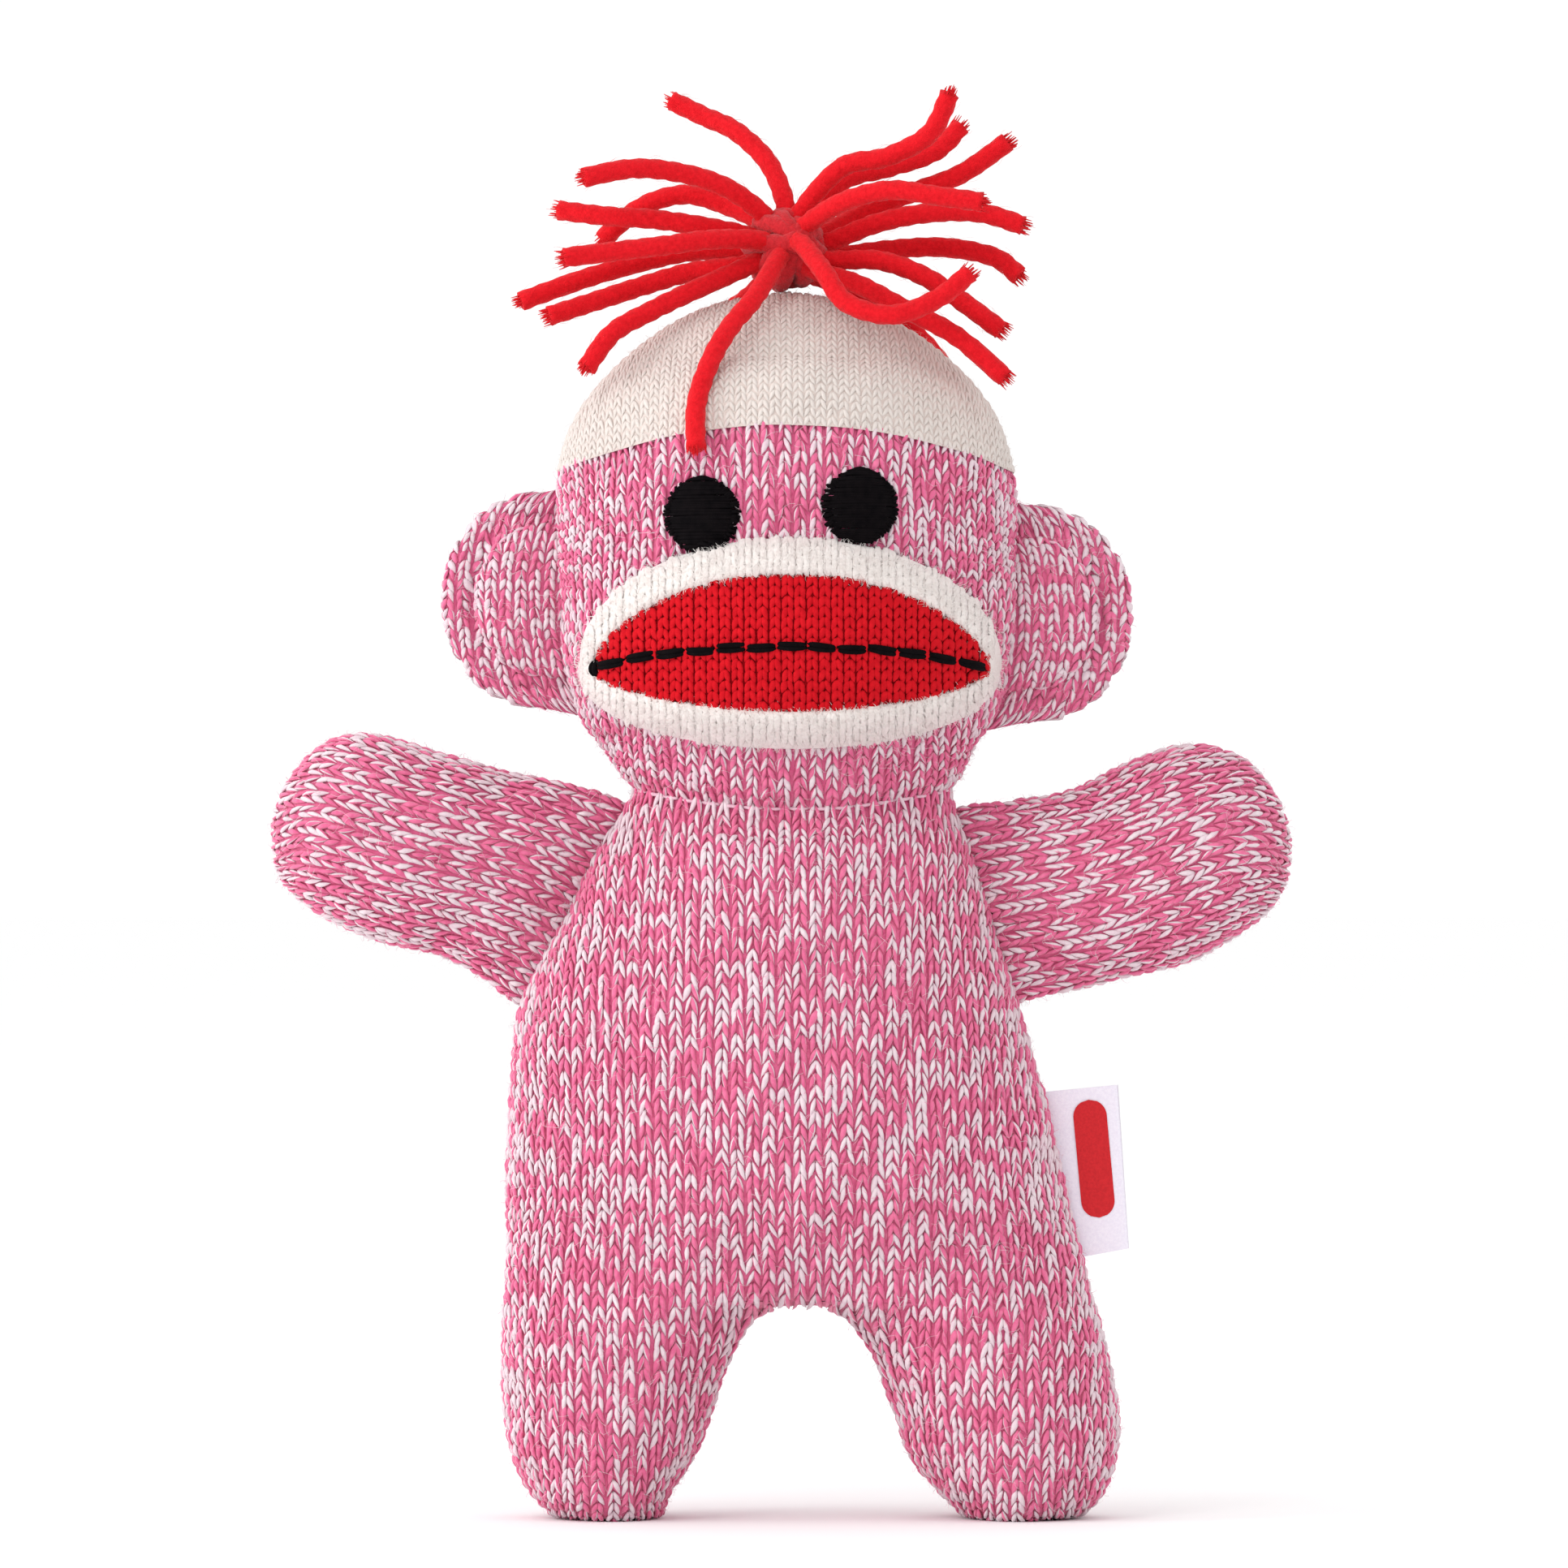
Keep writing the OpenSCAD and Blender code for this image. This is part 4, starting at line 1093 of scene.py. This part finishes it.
# The knot: the same yarn wound round the strands and pulled tight. Each loop has an axis, a shift along that
# axis and a radius.
WRAPS = [((0.15, 0.1, 1), 0.0, 5.4), ((0.5, 0.3, 0.8), 1.2, 5.1), ((-0.6, 0.25, 0.75), -1.0, 5.1),
         ((0.9, 0.2, 0.35), 0.8, 4.9), ((-0.95, -0.1, 0.3), -0.8, 4.9), ((0.1, 0.95, 0.3), 0.2, 4.9)]
build = Build()
rng = np.random.default_rng(240)
for axis, shift, loop in WRAPS:
    axis = np.array(axis) / np.linalg.norm(axis)
    side, other = across_from(axis, [0.3, 1, 0.2])
    t = np.linspace(0, 2 * np.pi, 61)[:, None]
    path = knot_mid + axis * shift + (side * np.cos(t) + other * np.sin(t)) * (loop + 0.25 * np.sin(3 * t))
    tube(build, path, YARN_RADIUS, 16, **FOUR_PLY)
    strand_fuzz(build, path, rng, 40)
# The wraps take the red yarn in painted shade.
on_head(build.make("yarn_knot_wraps", [YARN_SHADED]), "red_yarn", "yarn_knot")


# ---------------------------------------------------------------- the woven label

# The label's corners: up at the seam, up at the fold, down at the fold, down at the seam.
LABEL = np.array([[39.9, 66.0], [52.2, 67.2], [53.9, 41.8], [45.6, 40.3]])
LABEL_THICK = 0.22
LEAF_COLUMNS, LEAF_ROWS = 40, 60
MARK_TOP, MARK_LOW, MARK_HALF = np.array([47.7, 64.9]), np.array([49.4, 46.6]), 2.6
MARK_PROUD = 0.14
MARK_COLUMNS, MARK_ROWS = 16, 56


def label_point(a, b):
    """A place on the label's face, a across from the seam to the fold and b up it."""
    a, b = a[..., None], b[..., None]
    return (LABEL[0] * (1 - a) + LABEL[1] * a) * b + (LABEL[3] * (1 - a) + LABEL[2] * a) * (1 - b)


def label_wave(z):
    return 0.35 * np.sin((z - 41) / 26 * 2.6 + 0.4)


def label_leaf(a):
    """Half the distance between the label's two leaves."""
    return 0.42 * np.sqrt(np.clip(1 - a ** 6, 0, 1))


build = Build()
across = np.concatenate([np.linspace(0, 1, LEAF_COLUMNS), np.linspace(1, 0, LEAF_COLUMNS)[1:]])
leaf = np.concatenate([np.full(LEAF_COLUMNS, -1.0), np.full(LEAF_COLUMNS - 1, 1.0)])
a, b = np.meshgrid(across, np.linspace(0, 1, LEAF_ROWS))
xz = label_point(a, b)
depth = SEAM_Y + label_leaf(a) * leaf[None] + label_wave(xz[..., 1]) * a
grid = np.stack([xz[..., 0], depth, xz[..., 1]], -1)
over, upward = np.gradient(grid, axis=1), np.gradient(grid, axis=0)
normal = unit(np.cross(over, upward), 1e-9)
rows, columns = grid.shape[:2]
outer, inner = grid + normal * LABEL_THICK / 2, grid - normal * LABEL_THICK / 2
build.add(outer, net(rows, columns))
build.add(inner, net(rows, columns)[..., ::-1])
for r in (0, rows - 1):
    build.add(np.stack([outer[r], inner[r]]), net(2, columns))
tape = build.make("label_tape_sheet", [TAPE])
share_between(tape)
dress(tape, "label_tape", "woven_label")

# The mark woven into it is a plain red block with round ends.
build = Build()
length = float(np.linalg.norm(MARK_TOP - MARK_LOW))
up = (MARK_TOP - MARK_LOW) / length
side = np.array([up[1], -up[0]])
b, a = np.meshgrid(np.linspace(0, 1, MARK_ROWS), np.linspace(-1, 1, MARK_COLUMNS), indexing="ij")
narrow = np.sqrt(1 - (1 - np.clip(np.minimum(b, 1 - b) * length / MARK_HALF, 0, 1)) ** 2)
xz = MARK_LOW + up * (b * length)[..., None] + side * (a * narrow * MARK_HALF)[..., None]
share = np.clip((xz[..., 0] - 43) / 10, 0, 1)
for way in (FRONT, BACK):
    y = SEAM_Y + way * (label_leaf(share) + LABEL_THICK / 2 + MARK_PROUD) + label_wave(xz[..., 1]) * share
    build.add(np.stack([xz[..., 0], y, xz[..., 1]], -1), net(MARK_ROWS, MARK_COLUMNS))
mark = build.make("label_mark_block", [MARK])
share_between(mark)
dress(mark, "label_weave", "label_mark")


# ---------------------------------------------------------------- seam threads

def thread_row(build, points, normals, long, gap, radius):
    """Short stitches end to end along a line on the cloth."""
    run = np.concatenate([[0], np.cumsum(np.linalg.norm(np.diff(points, axis=0), axis=1))])
    arc = np.sin(np.linspace(0, np.pi, 7))
    at = 0.0
    while at + long < run[-1]:
        t = np.linspace(at, at + long, 7)
        spot, normal = (np.stack([np.interp(t, run, a[:, i]) for i in range(3)], -1)
                        for a in (points, normals))
        tube(build, spot + normal * (0.35 * arc - 0.2)[:, None], radius, 6, taper=0.5 + 0.5 * arc ** 0.5)
        at += long + gap


build = Build()
for word, way in PANELS:
    neck = body_surface(way, NECK_Z, NECK_Z + 3, crease=neck_crease)
    thread_row(build, neck.grid[0], neck.normal[0], 3.4, 0.1, 0.3)
seam = build.make("neck_seam_stitches", [PALE])
share_between(seam)
dress(seam, "pale_thread", "neck_seam_thread")

turns = np.radians(np.linspace(-EAR_ARC, EAR_ARC, 90))
for side, hand in HANDS:
    build = Build()
    for word, way in PANELS:
        ear = ears[side, word]
        spot, normal = ear.place((ear.reach - EAR_RIM) * np.cos(turns), (ear.half - EAR_RIM) * np.sin(turns))
        thread_row(build, spot, normal, 2.6, 0.3, 0.28)
    topstitch = build.make(f"{side}_ear_stitches", [PALE])
    fold_with_ear(topstitch)
    dress(topstitch, "pale_thread", f"{side}_ear_topstitch")


# ---------------------------------------------------------------- studio

FLOOR_HALF = 9000
AIM = (0, 0, 0.11)


def plain_floor():
    build = Build()
    build.add([[x * FLOOR_HALF, y * FLOOR_HALF, 0] for x, y in ((-1, -1), (1, -1), (1, 1), (-1, 1))],
              [[0, 1, 2, 3]])
    material = bpy.data.materials.new("studio_white")
    material.use_nodes = True
    settings(material.node_tree.nodes["Principled BSDF"], Base_Color=(0.97, 0.97, 0.97, 1), Roughness=0.9,
             Specular_IOR_Level=0.1)
    build.make("studio_floor", [material])


def studio():
    plain_floor()
    world = bpy.data.worlds.new("studio")
    bpy.context.scene.world = world
    world.use_nodes = True
    settings(world.node_tree.nodes["Background"], Color=(1, 1, 1, 1), Strength=1.03)
    soft_light("key", (-0.9, -1.5, 1.5), 0.9, 7, AIM)
    soft_light("left_fill", (-1.6, -0.5, 0.5), 1.0, 12, AIM)
    bpy.context.scene.view_settings.view_transform = "Standard"


studio()
